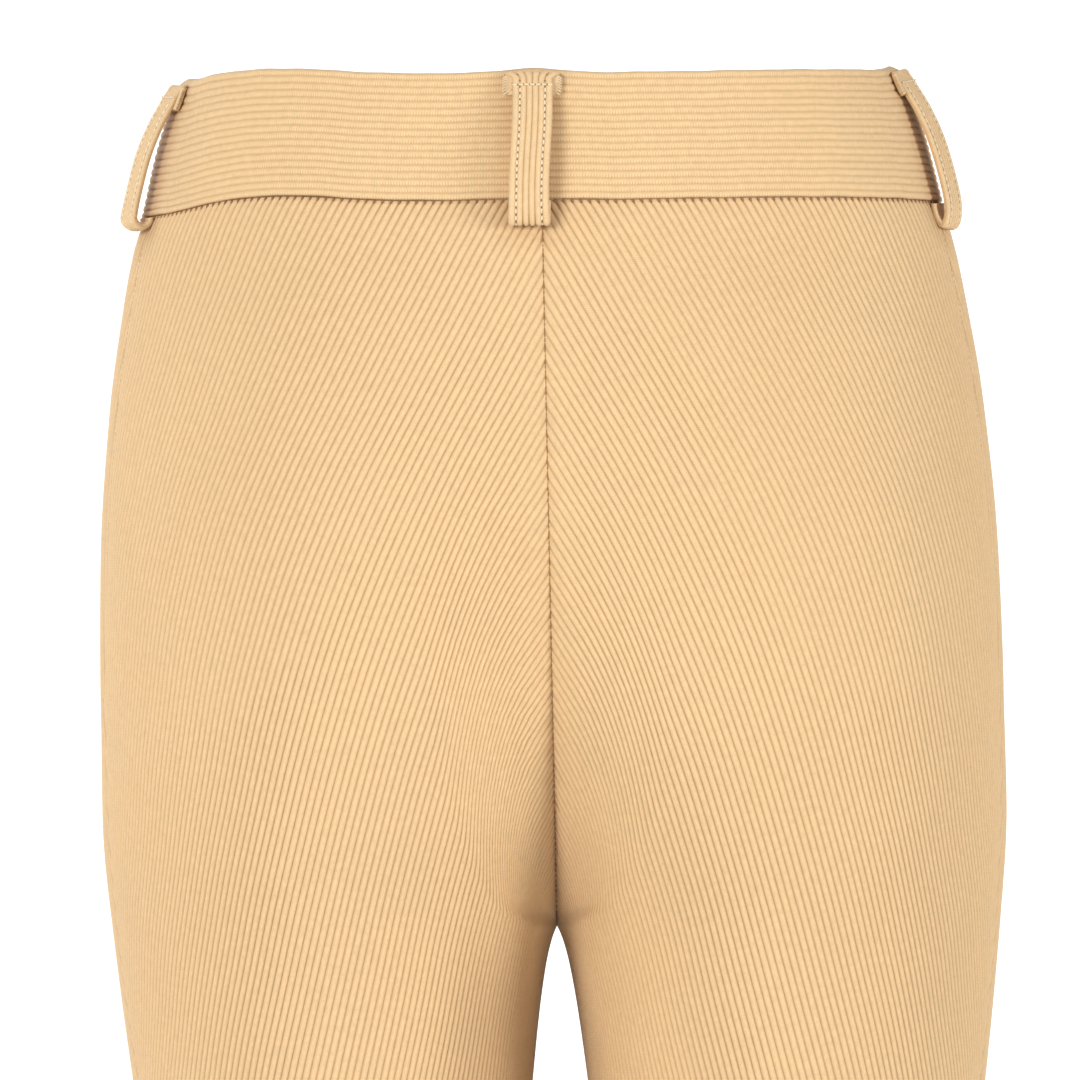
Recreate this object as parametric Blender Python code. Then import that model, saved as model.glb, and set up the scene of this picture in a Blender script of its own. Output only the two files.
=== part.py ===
"""Riding breeches in ribbed stretch cloth, in their worn shape, hollow and open at waist and legs.

Metres, +Z up, the front faces -Y and the wearer's left is +X. The origin is the middle of the
waist, half way up the waistband at the back.
"""

import math

import bmesh
import bpy
from mathutils import Vector

# Cloth
CLOTH = 0.0015                 # wall of a panel
SEAM_GAP = 0.0003              # between two pieces that meet at a seam
RIB_RAISE = 0.0005             # crest of a rib above its valley

# Waistband: a strip folded double, ribs lying level
BAND_TOP = 0.024
BAND_BOTTOM = -0.024
BAND_WALL = 0.0024
BAND_PROUD = 0.0010            # the band's valleys stand this far out from the panels
BAND_RIBS = 18
BAND_STEPS = 44                # pieces of arc round the waist
LAP_STEPS = 4
LAP_END = -0.004               # x where the outer end stops, just past the centre front
UNDERLAP_END = 0.027           # x where the inner end stops, under the outer one
LAP_RISE = (0.029, 0.048)      # x between which the outer end climbs over the inner one
LAP_LIFT = BAND_WALL + RIB_RAISE + SEAM_GAP

# The waist is lower at the front than at the back
FRONT_DIP = 0.012
TOP_DIP_POWER = 4.0
SEAM_DIP_POWER = 1.8
DIP_FADES_AT = -0.16

# Body and legs
CROTCH = -0.299
SIDE_SEAM = math.radians(11.0)  # behind the widest point, as an angle round the leg
LEG_SPREAD = 0.0512            # inner leg line: x grows with the root of the depth below the crotch
APEX_SOFTEN = 0.0015           # depth that rounds the line's start
BACK_SPLIT = (0.27, 1.6)       # height over which the back parts into two legs, and its power
FRONT_SPLIT = (0.16, 1.5)
SPLIT_SOFTEN = 0.016           # the parting is smoothed over twice this height each way
APEX_REACH = 0.010             # height above the crotch where the inner leg line starts to count
APEX_POWER = 6                 # how closely it keeps to the innermost part of the leg
LEAST_PARTING = 0.001          # keeps the undivided body's rings from growing endlessly wide
PANEL_COLUMNS = 12
SHARP_EDGE = math.radians(40)

# Small steps for measuring the surface's directions, and the halvings that find an angle
TURN_STEP = 0.004
RISE_STEP = 0.0005
HALVINGS = 40
MITRE_LIMIT = 0.6              # the least share of the wall that lies in a seam's plane

# height, side (outermost x), axis (x of the deepest points), back and front (y of those), middle
# (y of the outermost and innermost points)
COLUMNS = ("height", "side", "axis", "back", "front", "middle")
SECTIONS = (
    (0.030, 0.134, 0.000, 0.098, -0.104, -0.004),
    (0.000, 0.145, 0.000, 0.103, -0.110, -0.004),
    (-0.025, 0.1515, 0.000, 0.108, -0.114, -0.003),
    (-0.040, 0.1560, 0.000, 0.1117, -0.1158, -0.003),
    (-0.065, 0.1605, 0.018, 0.117, -0.1178, -0.002),
    (-0.100, 0.1655, 0.036, 0.123, -0.118, 0.000),
    (-0.160, 0.1700, 0.058, 0.129, -0.116, 0.002),
    (-0.210, 0.1715, 0.071, 0.129, -0.112, 0.003),
    (-0.255, 0.1710, 0.080, 0.122, -0.107, 0.002),
    (-0.300, 0.1680, 0.0842, 0.110, -0.103, 0.000),
    (-0.360, 0.1610, 0.0860, 0.097, -0.097, -0.001),
    (-0.450, 0.1500, 0.0835, 0.085, -0.090, -0.003),
    (-0.540, 0.1405, 0.0812, 0.070, -0.080, -0.005),
    (-0.620, 0.1335, 0.0795, 0.057, -0.068, -0.005),
    (-0.680, 0.1305, 0.0790, 0.058, -0.060, 0.000),
    (-0.745, 0.1330, 0.0812, 0.066, -0.055, 0.006),
    (-0.820, 0.1265, 0.0793, 0.060, -0.047, 0.008),
    (-0.900, 0.1140, 0.0745, 0.049, -0.037, 0.007),
    (-0.940, 0.1110, 0.0735, 0.045, -0.034, 0.006),
)

# Heights of the panels' points, close together where the seat turns under into the legs. Each
# panel is four solids, parted by SEAM_GAP at these levels, so that collision follows it closely.
LEVELS = {
    "hip": (-0.0243, -0.040, -0.060, -0.085, -0.115, -0.145, -0.175, -0.200),
    "upper_thigh": (-0.200 - SEAM_GAP, -0.225, -0.245, -0.262, -0.275, -0.285, -0.292, -0.296,
                    -0.299, -0.302, -0.307, -0.315, -0.330, -0.355, -0.390),
    "thigh": (-0.390 - SEAM_GAP, -0.435, -0.485, -0.535, -0.580, -0.620),
    "calf": (-0.620 - SEAM_GAP, -0.665, -0.710, -0.750, -0.795, -0.845, -0.895, -0.940),
}

# Belt loops: a doubled strip that comes out of the waist seam, turns up over the band and is
# folded under at the band's top edge. out is measured from the panels' outer face.
LOOP_WIDTH = 0.015
LOOP_WALL = 0.0020
LOOP_RIBS = 6
LOOP_PATH = (                  # out, height
    (0.0014, BAND_BOTTOM - 0.0008), (0.0016, BAND_BOTTOM - 0.0055),
    (0.0034, BAND_BOTTOM - 0.0088), (0.0060, BAND_BOTTOM - 0.0080),
    (0.0090, BAND_BOTTOM - 0.0030), (0.0103, BAND_BOTTOM + 0.0050),
    (0.0102, BAND_TOP - 0.0270), (0.0087, BAND_TOP - 0.0150), (0.0063, BAND_TOP - 0.0055),
    (0.0050, BAND_TOP - 0.0012), (0.0039, BAND_TOP + 0.0002), (0.0029, BAND_TOP - 0.0012),
    (0.0029, BAND_TOP - 0.0085),
)
LOOP_ANGLES = {                # round the waist, at the band's top and bottom edge
    "belt_loop_back": (math.radians(89.0), math.radians(88.3)),
    "belt_loop_left": (SIDE_SEAM, SIDE_SEAM),
    "belt_loop_right": (math.pi - SIDE_SEAM, math.pi - SIDE_SEAM),
    "belt_loop_front_left": (math.radians(-66.0), math.radians(-66.0)),
    "belt_loop_front_right": (math.radians(-114.0), math.radians(-114.0)),
}

# Fly placket, on the left front panel
FLY_WIDTH = 0.034
FLY_BOTTOM = -0.185
FLY_CURVE = 0.040              # height of the curved lower end
FLY_WALL = 0.0012
FLY_LIFT = 0.0006              # the fly's inner face above the panel
FLY_BLUNT = 0.12               # the curve's tip keeps this share of the fly's width
FLY_COLUMNS = 5
FLY_ROWS = 12

# Button on the lapped band
BUTTON_X = 0.012
BUTTON_RADIUS = 0.0085
BUTTON_THICK = 0.0030
BUTTON_RIM = 0.0010            # flat rim, then the slope down into the dish
BUTTON_SLOPE = 0.0014
BUTTON_DISH = 0.0009
BUTTON_SEAT = 0.0004           # clear of the band's ribs
BUTTON_TURN = 0.05             # angle over which the band's direction is taken under it

TAN = (0.80, 0.58, 0.33)
LIGHT_TAN = (0.83, 0.61, 0.35)
HORN = (0.46, 0.30, 0.15)
CLOTH_ROUGHNESS = 0.85
BUTTON_ROUGHNESS = 0.35


def column_of(name):
    """One column of SECTIONS, from the top down."""
    place = COLUMNS.index(name)
    return [row[place] for row in SECTIONS]


def slopes_of(heights, values):
    """Slopes at each height of a smooth line through the values that never overshoots them."""
    steps = []
    for i in range(len(values) - 1):
        steps.append((values[i + 1] - values[i]) / (heights[i + 1] - heights[i]))
    slopes = [steps[0]]
    for before, after in zip(steps, steps[1:]):
        slopes.append(2 * before * after / (before + after) if before * after > 0 else 0.0)
    slopes.append(steps[-1])
    return slopes


HEIGHTS = column_of("height")
VALUES = {name: column_of(name) for name in COLUMNS[1:]}
SLOPES = {name: slopes_of(HEIGHTS, values) for name, values in VALUES.items()}


def value_at(name, height):
    """A column's value at any height, on a smooth line through its rows."""
    i = 0
    while i < len(HEIGHTS) - 2 and height < HEIGHTS[i + 1]:
        i += 1
    span = HEIGHTS[i + 1] - HEIGHTS[i]
    t = (height - HEIGHTS[i]) / span
    first, last = VALUES[name][i], VALUES[name][i + 1]
    leaving, arriving = SLOPES[name][i] * span, SLOPES[name][i + 1] * span
    bend = (2 * first + leaving - 2 * last + arriving) * t**3
    return bend + (3 * last - 3 * first - 2 * leaving - arriving) * t**2 + leaving * t + first


def smooth_step(x, start, stop):
    t = min(max((x - start) / (stop - start), 0.0), 1.0)
    return t * t * (3 - 2 * t)


def inner_line(height):
    """x of the leg's innermost point, below the crotch."""
    depth = max(CROTCH - height, 0.0)
    return SEAM_GAP / 2 + LEG_SPREAD * (math.sqrt(depth + APEX_SOFTEN) - math.sqrt(APEX_SOFTEN))


def parting_at(height, split):
    """0 where the body is one rounded form, 1 where the legs part, and more below."""
    reach, power = split
    if height > CROTCH:
        return max(0.0, 1 - (height - CROTCH) / reach) ** power
    axis = value_at("axis", height)
    return axis / (axis - inner_line(height))


def soft_parting(height, is_back):
    """The parting, smoothed over height so that no fold forms under the seat."""
    split = BACK_SPLIT if is_back else FRONT_SPLIT
    total, weights = 0.0, 0.0
    for step, weight in ((-2, 1), (-1, 2), (0, 3), (1, 2), (2, 1)):
        total += weight * parting_at(height + step * SPLIT_SOFTEN, split)
        weights += weight
    return max(total / weights, LEAST_PARTING)


def ring_point(height, angle):
    """x and y on the cloth's outer face. Angle 0 is the outermost point and 90 the back."""
    axis, middle = value_at("axis", height), value_at("middle", height)
    is_back = math.sin(angle) >= 0
    depth = value_at("back", height) - middle if is_back else middle - value_at("front", height)
    y = middle + depth * math.sin(angle)
    if math.cos(angle) >= 0:
        return axis + (value_at("side", height) - axis) * math.cos(angle), y
    width = axis / soft_parting(height, is_back)
    inset = inner_line(height) - (axis - width)
    inset *= 1 - smooth_step(height, CROTCH, CROTCH + APEX_REACH)
    return axis + width * math.cos(angle) + inset * math.cos(angle) ** APEX_POWER, y


def angle_at_x(height, x, is_back):
    """The angle of the ring's back or front point with this x, found by halving."""
    sign = 1 if is_back else -1
    low, high = 0.0, math.pi
    for _ in range(HALVINGS):
        middle = (low + high) / 2
        if ring_point(height, sign * middle)[0] > x:
            low = middle
        else:
            high = middle
    return sign * low


def seam_angle(height, is_back):
    """Where a panel ends at the centre seam or, below the crotch, at the inner leg seam."""
    if height > CROTCH:
        return angle_at_x(height, SEAM_GAP / 2, is_back)
    sign = 1 if is_back else -1
    reach = abs(ring_point(height, sign * math.pi / 2)[1] - value_at("middle", height))
    return sign * (math.pi - math.asin(SEAM_GAP / 2 / reach))


def side_angle(height, sign):
    """The side seam's angle, half the seam's gap to the back (1) or to the front (-1) of it."""
    ahead, behind = ring_point(height, SIDE_SEAM + TURN_STEP), ring_point(height, SIDE_SEAM)
    reach = math.dist(ahead, behind) / TURN_STEP
    return SIDE_SEAM + sign * SEAM_GAP / 2 / reach


def dip_at(angle, power):
    """How far the waist lies below its height at the centre back."""
    return -FRONT_DIP * ((1 - math.sin(angle)) / 2) ** power


def surface_point(height, angle, out=0.0, dip_power=SEAM_DIP_POWER):
    """A point of the left half, on the cloth's outer face or moved level out of it."""
    x, y = ring_point(height, angle)
    if out:
        ahead = ring_point(height, angle - TURN_STEP)
        behind = ring_point(height, angle + TURN_STEP)
        along = (ahead[0] - behind[0], ahead[1] - behind[1])
        length = math.hypot(*along)
        x -= out * along[1] / length
        y += out * along[0] / length
    fade = smooth_step(height, DIP_FADES_AT, BAND_BOTTOM)
    return x, y, height + fade * dip_at(angle, dip_power)


def normal_at(height, angle):
    """The outward normal of the cloth's outer face on the left half."""
    ahead, behind = (Vector(surface_point(height, angle + turn)) for turn in (-TURN_STEP, TURN_STEP))
    above, below = (Vector(surface_point(height + rise, angle)) for rise in (RISE_STEP, -RISE_STEP))
    return (above - below).cross(ahead - behind).normalized()


def wall_step(height, angle, at_seam):
    """From the outer face to the inner face. At a middle or inner leg seam it stays in the
    seam's plane, so that the two pieces never meet."""
    normal = normal_at(height, angle)
    within = normal.copy()
    if at_seam and height >= CROTCH:
        within.x = 0.0
    if at_seam and height <= CROTCH:
        within.y = 0.0
    within.normalize()
    return within * (-CLOTH / max(within.dot(normal), MITRE_LIMIT))


def material(name, colour, roughness):
    made = bpy.data.materials.new(name)
    made.use_nodes = True
    shader = made.node_tree.nodes["Principled BSDF"]
    shader.inputs["Base Color"].default_value = (*colour, 1.0)
    shader.inputs["Roughness"].default_value = roughness
    shader.inputs["Metallic"].default_value = 0.0
    return made


def add_object(name, points, faces, colour, collection):
    mesh = bpy.data.meshes.new(name)
    mesh.from_pydata(points, [], faces)
    mesh.shade_smooth()
    mesh.set_sharp_from_angle(angle=SHARP_EDGE)
    mesh.materials.append(material(name, colour, CLOTH_ROUGHNESS))
    collection.objects.link(bpy.data.objects.new(name, mesh))


def mirrored(point, side):
    return (side * point[0], point[1], point[2])


def grid_faces(rows, columns, side=1):
    """Faces over a grid of points, facing out on the left half and on its mirror image."""
    faces = []
    for r in range(rows - 1):
        for c in range(columns - 1):
            corner = r * columns + c
            face = (corner, corner + 1, corner + columns + 1, corner + columns)
            faces.append(face if side > 0 else face[::-1])
    return faces


def wall_faces(rows, columns, side=1):
    """Faces of a closed wall: the outer grid's, then the inner grid's, then the four edges."""
    faces = grid_faces(rows, columns, side)
    behind = rows * columns
    faces += [tuple(corner + behind for corner in face[::-1]) for face in faces]
    top = list(range(columns))
    right = [r * columns + columns - 1 for r in range(1, rows)]
    bottom = [(rows - 1) * columns + c for c in range(columns - 2, -1, -1)]
    left = [r * columns for r in range(rows - 2, 0, -1)]
    around = top + right + bottom + left
    for here, after in zip(around, around[1:] + around[:1]):
        face = (here, here + behind, after + behind, after)
        faces.append(face if side > 0 else face[::-1])
    return faces


def add_panel(name, side, is_back, heights, collection):
    """The part of a leg panel between two heights, from its inner seam to the side seam."""
    outer_points, inner_points = [], []
    for height in heights:
        inner, outer = seam_angle(height, is_back), side_angle(height, 1 if is_back else -1)
        first, last = (inner, outer) if is_back else (outer, inner)
        for c in range(PANEL_COLUMNS + 1):
            angle = first + (last - first) * c / PANEL_COLUMNS
            at_seam = c == (0 if is_back else PANEL_COLUMNS)
            point = Vector(surface_point(height, angle))
            outer_points.append(mirrored(point, side))
            inner_points.append(mirrored(point + wall_step(height, angle, at_seam), side))
    faces = wall_faces(len(heights), PANEL_COLUMNS + 1, side)
    add_object(name, outer_points + inner_points, faces, TAN, collection)


def ribbed_edge(length, ribs):
    """(place, raise) across a ribbed strip: a valley before each crest, and one at the end."""
    steps = []
    for i in range(2 * ribs + 1):
        steps.append((length * i / (2 * ribs), RIB_RAISE if i % 2 else 0.0))
    return steps


def add_sweep(name, sections, colour, collection):
    """A closed solid through equal sections, each a list of points that runs round the wall."""
    count = len(sections[0])
    points = [point for section in sections for point in section]
    faces = [tuple(range(count))]
    for s in range(len(sections) - 1):
        for i in range(count):
            here, after = s * count + i, s * count + (i + 1) % count
            faces.append((here, here + count, after + count, after))
    last = (len(sections) - 1) * count
    faces.append(tuple(range(last + count - 1, last - 1, -1)))
    add_object(name, points, faces, colour, collection)


def band_point(height, angle, out):
    """A point of the band at any angle round the whole waist: 0 is the left side, 90 the back."""
    side = 1 if math.cos(angle) >= 0 else -1
    folded = math.asin(math.sin(angle))
    share = (height - BAND_BOTTOM) / (BAND_TOP - BAND_BOTTOM)
    x, y, _ = surface_point(height, folded, out)
    low, high = dip_at(folded, SEAM_DIP_POWER), dip_at(folded, TOP_DIP_POWER)
    return side * x, y, height + low + share * (high - low)


def band_section(angle, lift):
    """One section of the band: ribbed outer face from the top down, plain inner face."""
    section = []
    for down, raised in ribbed_edge(BAND_TOP - BAND_BOTTOM, BAND_RIBS):
        section.append(band_point(BAND_TOP - down, angle, BAND_PROUD + lift + raised))
    section.append(band_point(BAND_BOTTOM, angle, BAND_PROUD + lift - BAND_WALL))
    section.append(band_point(BAND_TOP, angle, BAND_PROUD + lift - BAND_WALL))
    return section


def spaced(first, last, steps):
    """Evenly spaced values from the first up to, but not including, the last."""
    return [first + (last - first) * i / steps for i in range(steps)]


def add_band(collection):
    """The waistband starts under the lap at the front, goes round by the right side, the back
    and the left side, and its outer end climbs over its inner end."""
    half = value_at("side", 0.0)
    front = -math.pi / 2
    start = front + math.asin(UNDERLAP_END / half)
    climb = front - 2 * math.pi + math.asin(LAP_RISE[1] / half)
    flat = front - 2 * math.pi + math.asin(LAP_RISE[0] / half)
    end = front - 2 * math.pi + math.asin(LAP_END / half)
    places = spaced(start, climb, BAND_STEPS) + spaced(climb, flat, LAP_STEPS)
    places += spaced(flat, end, LAP_STEPS) + [end]
    sections = []
    for angle in places:
        risen = 1 - smooth_step(half * math.cos(angle), *LAP_RISE) if angle <= climb else 0.0
        sections.append(band_section(angle, LAP_LIFT * risen))
    add_sweep("waistband", sections, LIGHT_TAN, collection)


def add_loop(name, at_top, at_bottom, collection):
    """A belt loop, swept along its path with its ribbed face away from the body. at_top and
    at_bottom are its angles round the waist at the band's two edges: 0 is the left side, and
    90 degrees the back."""
    path = []
    for out, height in LOOP_PATH:
        share = (BAND_TOP - height) / (BAND_TOP - BAND_BOTTOM)
        path.append(Vector(band_point(height, at_top + (at_bottom - at_top) * share, out)))
    angle = (at_top + at_bottom) / 2
    outward = Vector(band_point(0.0, angle, 0.01)) - Vector(band_point(0.0, angle, 0.0))
    across = outward.cross(Vector((0, 0, 1))).normalized()
    outline = []
    for place, raised in ribbed_edge(LOOP_WIDTH, LOOP_RIBS):
        outline.append((place - LOOP_WIDTH / 2, LOOP_WALL / 2 - RIB_RAISE + raised))
    outline += [(LOOP_WIDTH / 2, -LOOP_WALL / 2), (-LOOP_WIDTH / 2, -LOOP_WALL / 2)]
    sections = []
    for i, point in enumerate(path):
        along = path[min(i + 1, len(path) - 1)] - path[max(i - 1, 0)]
        face = along.cross(across).normalized()
        sections.append([point + across * place + face * up for place, up in outline])
    add_sweep(name, sections, LIGHT_TAN, collection)


def add_fly(collection):
    """A placket beside the centre front, moved out from the left front panel."""
    outer_points, inner_points = [], []
    top = BAND_BOTTOM - SEAM_GAP
    for r in range(FLY_ROWS + 1):
        height = top + (FLY_BOTTOM - top) * math.sin(math.pi / 2 * r / FLY_ROWS)
        into_curve = max(0.0, (FLY_BOTTOM + FLY_CURVE - height) / FLY_CURVE)
        width = FLY_WIDTH * max(math.sqrt(max(1 - into_curve**2, 0.0)), FLY_BLUNT)
        for c in range(FLY_COLUMNS + 1):
            x = SEAM_GAP / 2 + width * (1 - c / FLY_COLUMNS)
            angle = angle_at_x(height, x, False)
            outer_points.append(surface_point(height, angle, FLY_LIFT + FLY_WALL))
            inner_points.append(surface_point(height, angle, FLY_LIFT))
    faces = wall_faces(FLY_ROWS + 1, FLY_COLUMNS + 1)
    add_object("fly", outer_points + inner_points, faces, TAN, collection)


def add_button(collection):
    """A turned button, dished in front, flat against the band's outer end."""
    mesh = bpy.data.meshes.new("waist_button")
    form = bmesh.new()
    bmesh.ops.create_cone(
        form, cap_ends=True, segments=24, radius1=BUTTON_RADIUS, radius2=BUTTON_RADIUS,
        depth=BUTTON_THICK,
    )
    front = max(form.faces, key=lambda face: face.calc_center_median().z)
    for inset, dish in ((BUTTON_RIM, 0.0), (BUTTON_SLOPE, BUTTON_DISH)):
        bmesh.ops.inset_region(form, faces=[front], thickness=inset)
        bmesh.ops.translate(form, vec=(0, 0, -dish), verts=front.verts)
    form.to_mesh(mesh)
    form.free()
    mesh.shade_smooth()
    mesh.set_sharp_from_angle(angle=SHARP_EDGE)
    mesh.materials.append(material("waist_button", HORN, BUTTON_ROUGHNESS))
    button = bpy.data.objects.new("waist_button", mesh)
    collection.objects.link(button)
    angle = -math.acos(BUTTON_X / value_at("side", 0.0))
    out = BAND_PROUD + LAP_LIFT + RIB_RAISE
    seat = Vector(band_point(0.0, angle, out))
    up_band = Vector(band_point(BUTTON_RADIUS, angle, out)) - seat
    round_band = Vector(band_point(0.0, angle - BUTTON_TURN, out)) - seat
    outward = up_band.cross(round_band).normalized()
    button.location = seat + outward * (BUTTON_SEAT + BUTTON_THICK / 2)
    button.rotation_euler = outward.to_track_quat("Z", "Y").to_euler()


def build():
    for old in list(bpy.data.objects):
        bpy.data.objects.remove(old)
    breeches = bpy.data.collections.new("riding_breeches")
    bpy.context.scene.collection.children.link(breeches)
    for side, hand in ((1, "left"), (-1, "right")):
        for is_back, face in ((True, "back"), (False, "front")):
            for level, heights in LEVELS.items():
                add_panel(f"{face}_{hand}_{level}", side, is_back, heights, breeches)
    add_band(breeches)
    for name, (at_top, at_bottom) in LOOP_ANGLES.items():
        add_loop(name, at_top, at_bottom, breeches)
    add_fly(breeches)
    add_button(breeches)


build()
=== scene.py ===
# %% [markdown]
# # Riding breeches in ribbed stretch cloth
#
# Close-fitting breeches, seen from behind and filled out as if worn. The whole garment is cut
# from one ribbed knit: two back panels whose ribs climb to the middle seam like a row of
# rafters, two front panels, a doubled waistband with level ribs, and belt loops. What makes it
# look real is the cloth itself, so every rib here is real relief. The shaders add the fine knit
# that runs across it, and painted shade in the furrows, beside the loops and in the hollows.

# %% Load the solids as the frame
import math

import bmesh
import bpy
import numpy as np
from mathutils import Matrix, Vector


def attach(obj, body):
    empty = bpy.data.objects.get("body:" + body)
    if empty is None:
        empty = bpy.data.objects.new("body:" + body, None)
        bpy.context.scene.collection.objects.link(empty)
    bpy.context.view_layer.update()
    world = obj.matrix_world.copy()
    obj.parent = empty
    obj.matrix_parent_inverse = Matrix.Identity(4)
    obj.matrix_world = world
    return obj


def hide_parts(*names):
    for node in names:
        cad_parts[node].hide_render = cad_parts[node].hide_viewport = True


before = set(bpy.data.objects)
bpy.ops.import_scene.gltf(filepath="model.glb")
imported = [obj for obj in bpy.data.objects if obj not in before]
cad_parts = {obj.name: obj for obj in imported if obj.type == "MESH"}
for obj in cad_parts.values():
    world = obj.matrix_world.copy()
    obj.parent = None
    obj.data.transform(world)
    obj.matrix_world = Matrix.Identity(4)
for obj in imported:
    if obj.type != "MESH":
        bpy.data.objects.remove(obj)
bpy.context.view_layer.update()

print("solids:", sorted(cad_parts))

# %% [markdown]
# ## Camera
#
# The picture is taken from straight behind with a long lens, so there is hardly any
# perspective. It shows the garment from the waistband to the upper thighs. The garment leans a
# degree to the left, which is done here by rolling the camera the other way.

# %% Camera
VIEW_WIDTH = 0.4104          # metres across the picture, at the garment
CAMERA_DISTANCE = 10.0
CAMERA_X = 0.0034
CAMERA_Z = -0.1525
CAMERA_ROLL = math.radians(-1.2)
SENSOR = 36.0

camera_data = bpy.data.cameras.new("camera")
camera_data.sensor_width = SENSOR
camera_data.lens = SENSOR * CAMERA_DISTANCE / VIEW_WIDTH
camera = bpy.data.objects.new("camera", camera_data)
bpy.context.collection.objects.link(camera)
facing = Matrix.Rotation(math.pi, 4, "Z") @ Matrix.Rotation(math.pi / 2, 4, "X")
camera.matrix_world = (
    Matrix.Translation((CAMERA_X, CAMERA_DISTANCE, CAMERA_Z))
    @ facing
    @ Matrix.Rotation(CAMERA_ROLL, 4, "Z")
)
bpy.context.scene.camera = camera
print("lens:", round(camera_data.lens), "mm")

# %% [markdown]
# ## Floor, backdrop and light
#
# The background is plain white and the light is soft, from both sides and a little stronger
# from the left. A pale floor lies just under the leg ends. The white backdrop stands far behind
# the garment, so it gets in the way of no other view.

# %% Floor, backdrop and light
FLOOR_Z = -0.948
BACKDROP_Y = -60.0


def deselect_all():
    """Operators act on all that is selected, so each step starts with nothing selected."""
    for thing in bpy.context.selected_objects:
        thing.select_set(False)


def flat_material(name, colour, roughness, glow=0.0):
    made = bpy.data.materials.new(name)
    made.use_nodes = True
    shader = made.node_tree.nodes["Principled BSDF"]
    shader.inputs["Base Color"].default_value = (*colour, 1.0)
    shader.inputs["Roughness"].default_value = roughness
    shader.inputs["Emission Color"].default_value = (1.0, 1.0, 1.0, 1.0)
    shader.inputs["Emission Strength"].default_value = glow
    return made


def add_stage_plane(name, size, location, rotation, material):
    deselect_all()
    bpy.ops.mesh.primitive_plane_add(size=size, location=location, rotation=rotation)
    plane = bpy.context.object
    plane.name = name
    plane.data.materials.append(material)
    bpy.ops.object.transform_apply(location=True, rotation=True, scale=True)


def add_area_light(name, location, target, size, power):
    light = bpy.data.lights.new(name, "AREA")
    light.shape = "DISK"
    light.size = size
    light.energy = power
    lamp = bpy.data.objects.new(name, light)
    lamp.location = location
    lamp.rotation_euler = (Vector(target) - Vector(location)).to_track_quat("-Z", "Y").to_euler()
    bpy.context.collection.objects.link(lamp)


add_stage_plane("floor", 4.0, (0, 0, FLOOR_Z), (0, 0, 0),
                flat_material("pale_floor", (0.82, 0.82, 0.82), 0.9))
add_stage_plane("backdrop", 5.0, (0, BACKDROP_Y, 0), (-math.pi / 2, 0, 0),
                flat_material("white_backdrop", (0.0, 0.0, 0.0), 1.0, glow=1.3))

SEAT = (0.0, 0.1, -0.2)
add_area_light("key_light", (1.7, 2.9, 0.8), SEAT, 1.3, 65.0)
add_area_light("left_light", (3.0, 1.0, 0.2), SEAT, 1.2, 14.0)
add_area_light("right_light", (-3.0, 1.8, 0.2), SEAT, 1.2, 60.0)
add_area_light("front_light", (1.4, -2.8, 1.0), (0, 0, -0.4), 1.4, 46.0)

world = bpy.data.worlds.new("studio")
world.use_nodes = True
world.node_tree.nodes["Background"].inputs["Color"].default_value = (0.80, 0.80, 0.82, 1.0)
world.node_tree.nodes["Background"].inputs["Strength"].default_value = 0.52
bpy.context.scene.world = world
bpy.context.scene.view_settings.view_transform = "Standard"

# %% [markdown]
# ## The worn form
#
# The solids' form is repeated here, so that every rib and stitch lies on it exactly. A ring at
# each height is an ellipse round the body, which parts into two legs below the seat. The table
# holds the driving widths and depths, and smooth lines run between its rows. Working with numpy
# arrays lets one call place thousands of points.

# %% Driving dimensions of the form
CLOTH = 0.0013               # thickness of one layer
BAND_TOP = 0.024
BAND_BOTTOM = -0.024
BAND_WALL = 0.0024
BAND_PROUD = 0.0010
BAND_RIBS = 18
FRONT_DIP = 0.012
TOP_DIP_POWER = 4.0
SEAM_DIP_POWER = 1.8
DIP_FADES_AT = -0.16
CROTCH = -0.299
SIDE_SEAM = math.radians(11.0)
LEG_SPREAD = 0.0512
APEX_SOFTEN = 0.0015
BACK_SPLIT = (0.27, 1.6)
FRONT_SPLIT = (0.16, 1.5)
SPLIT_SOFTEN = 0.016
APEX_REACH = 0.010
APEX_POWER = 6
LEAST_PARTING = 0.001
SOLID_GAP = 0.0003           # the solids' seam gap, which sewn cloth closes; the inner leg starts from it
TURN_STEP = 0.004
RISE_STEP = 0.0005
HEM = -0.940

# height, side, axis, back, front, middle
SECTIONS = np.array((
    (0.030, 0.134, 0.000, 0.098, -0.104, -0.004),
    (0.000, 0.145, 0.000, 0.103, -0.110, -0.004),
    (-0.025, 0.1515, 0.000, 0.108, -0.114, -0.003),
    (-0.040, 0.1560, 0.000, 0.1117, -0.1158, -0.003),
    (-0.065, 0.1605, 0.018, 0.117, -0.1178, -0.002),
    (-0.100, 0.1655, 0.036, 0.123, -0.118, 0.000),
    (-0.160, 0.1700, 0.058, 0.129, -0.116, 0.002),
    (-0.210, 0.1715, 0.071, 0.129, -0.112, 0.003),
    (-0.255, 0.1710, 0.080, 0.122, -0.107, 0.002),
    (-0.300, 0.1680, 0.0842, 0.110, -0.103, 0.000),
    (-0.360, 0.1610, 0.0860, 0.097, -0.097, -0.001),
    (-0.450, 0.1500, 0.0835, 0.085, -0.090, -0.003),
    (-0.540, 0.1405, 0.0812, 0.070, -0.080, -0.005),
    (-0.620, 0.1335, 0.0795, 0.057, -0.068, -0.005),
    (-0.680, 0.1305, 0.0790, 0.058, -0.060, 0.000),
    (-0.745, 0.1330, 0.0812, 0.066, -0.055, 0.006),
    (-0.820, 0.1265, 0.0793, 0.060, -0.047, 0.008),
    (-0.900, 0.1140, 0.0745, 0.049, -0.037, 0.007),
    (-0.940, 0.1110, 0.0735, 0.045, -0.034, 0.006),
))
HEIGHTS = SECTIONS[:, 0]
SIDE, AXIS, BACK, FRONT, MIDDLE = range(1, 6)

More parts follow.
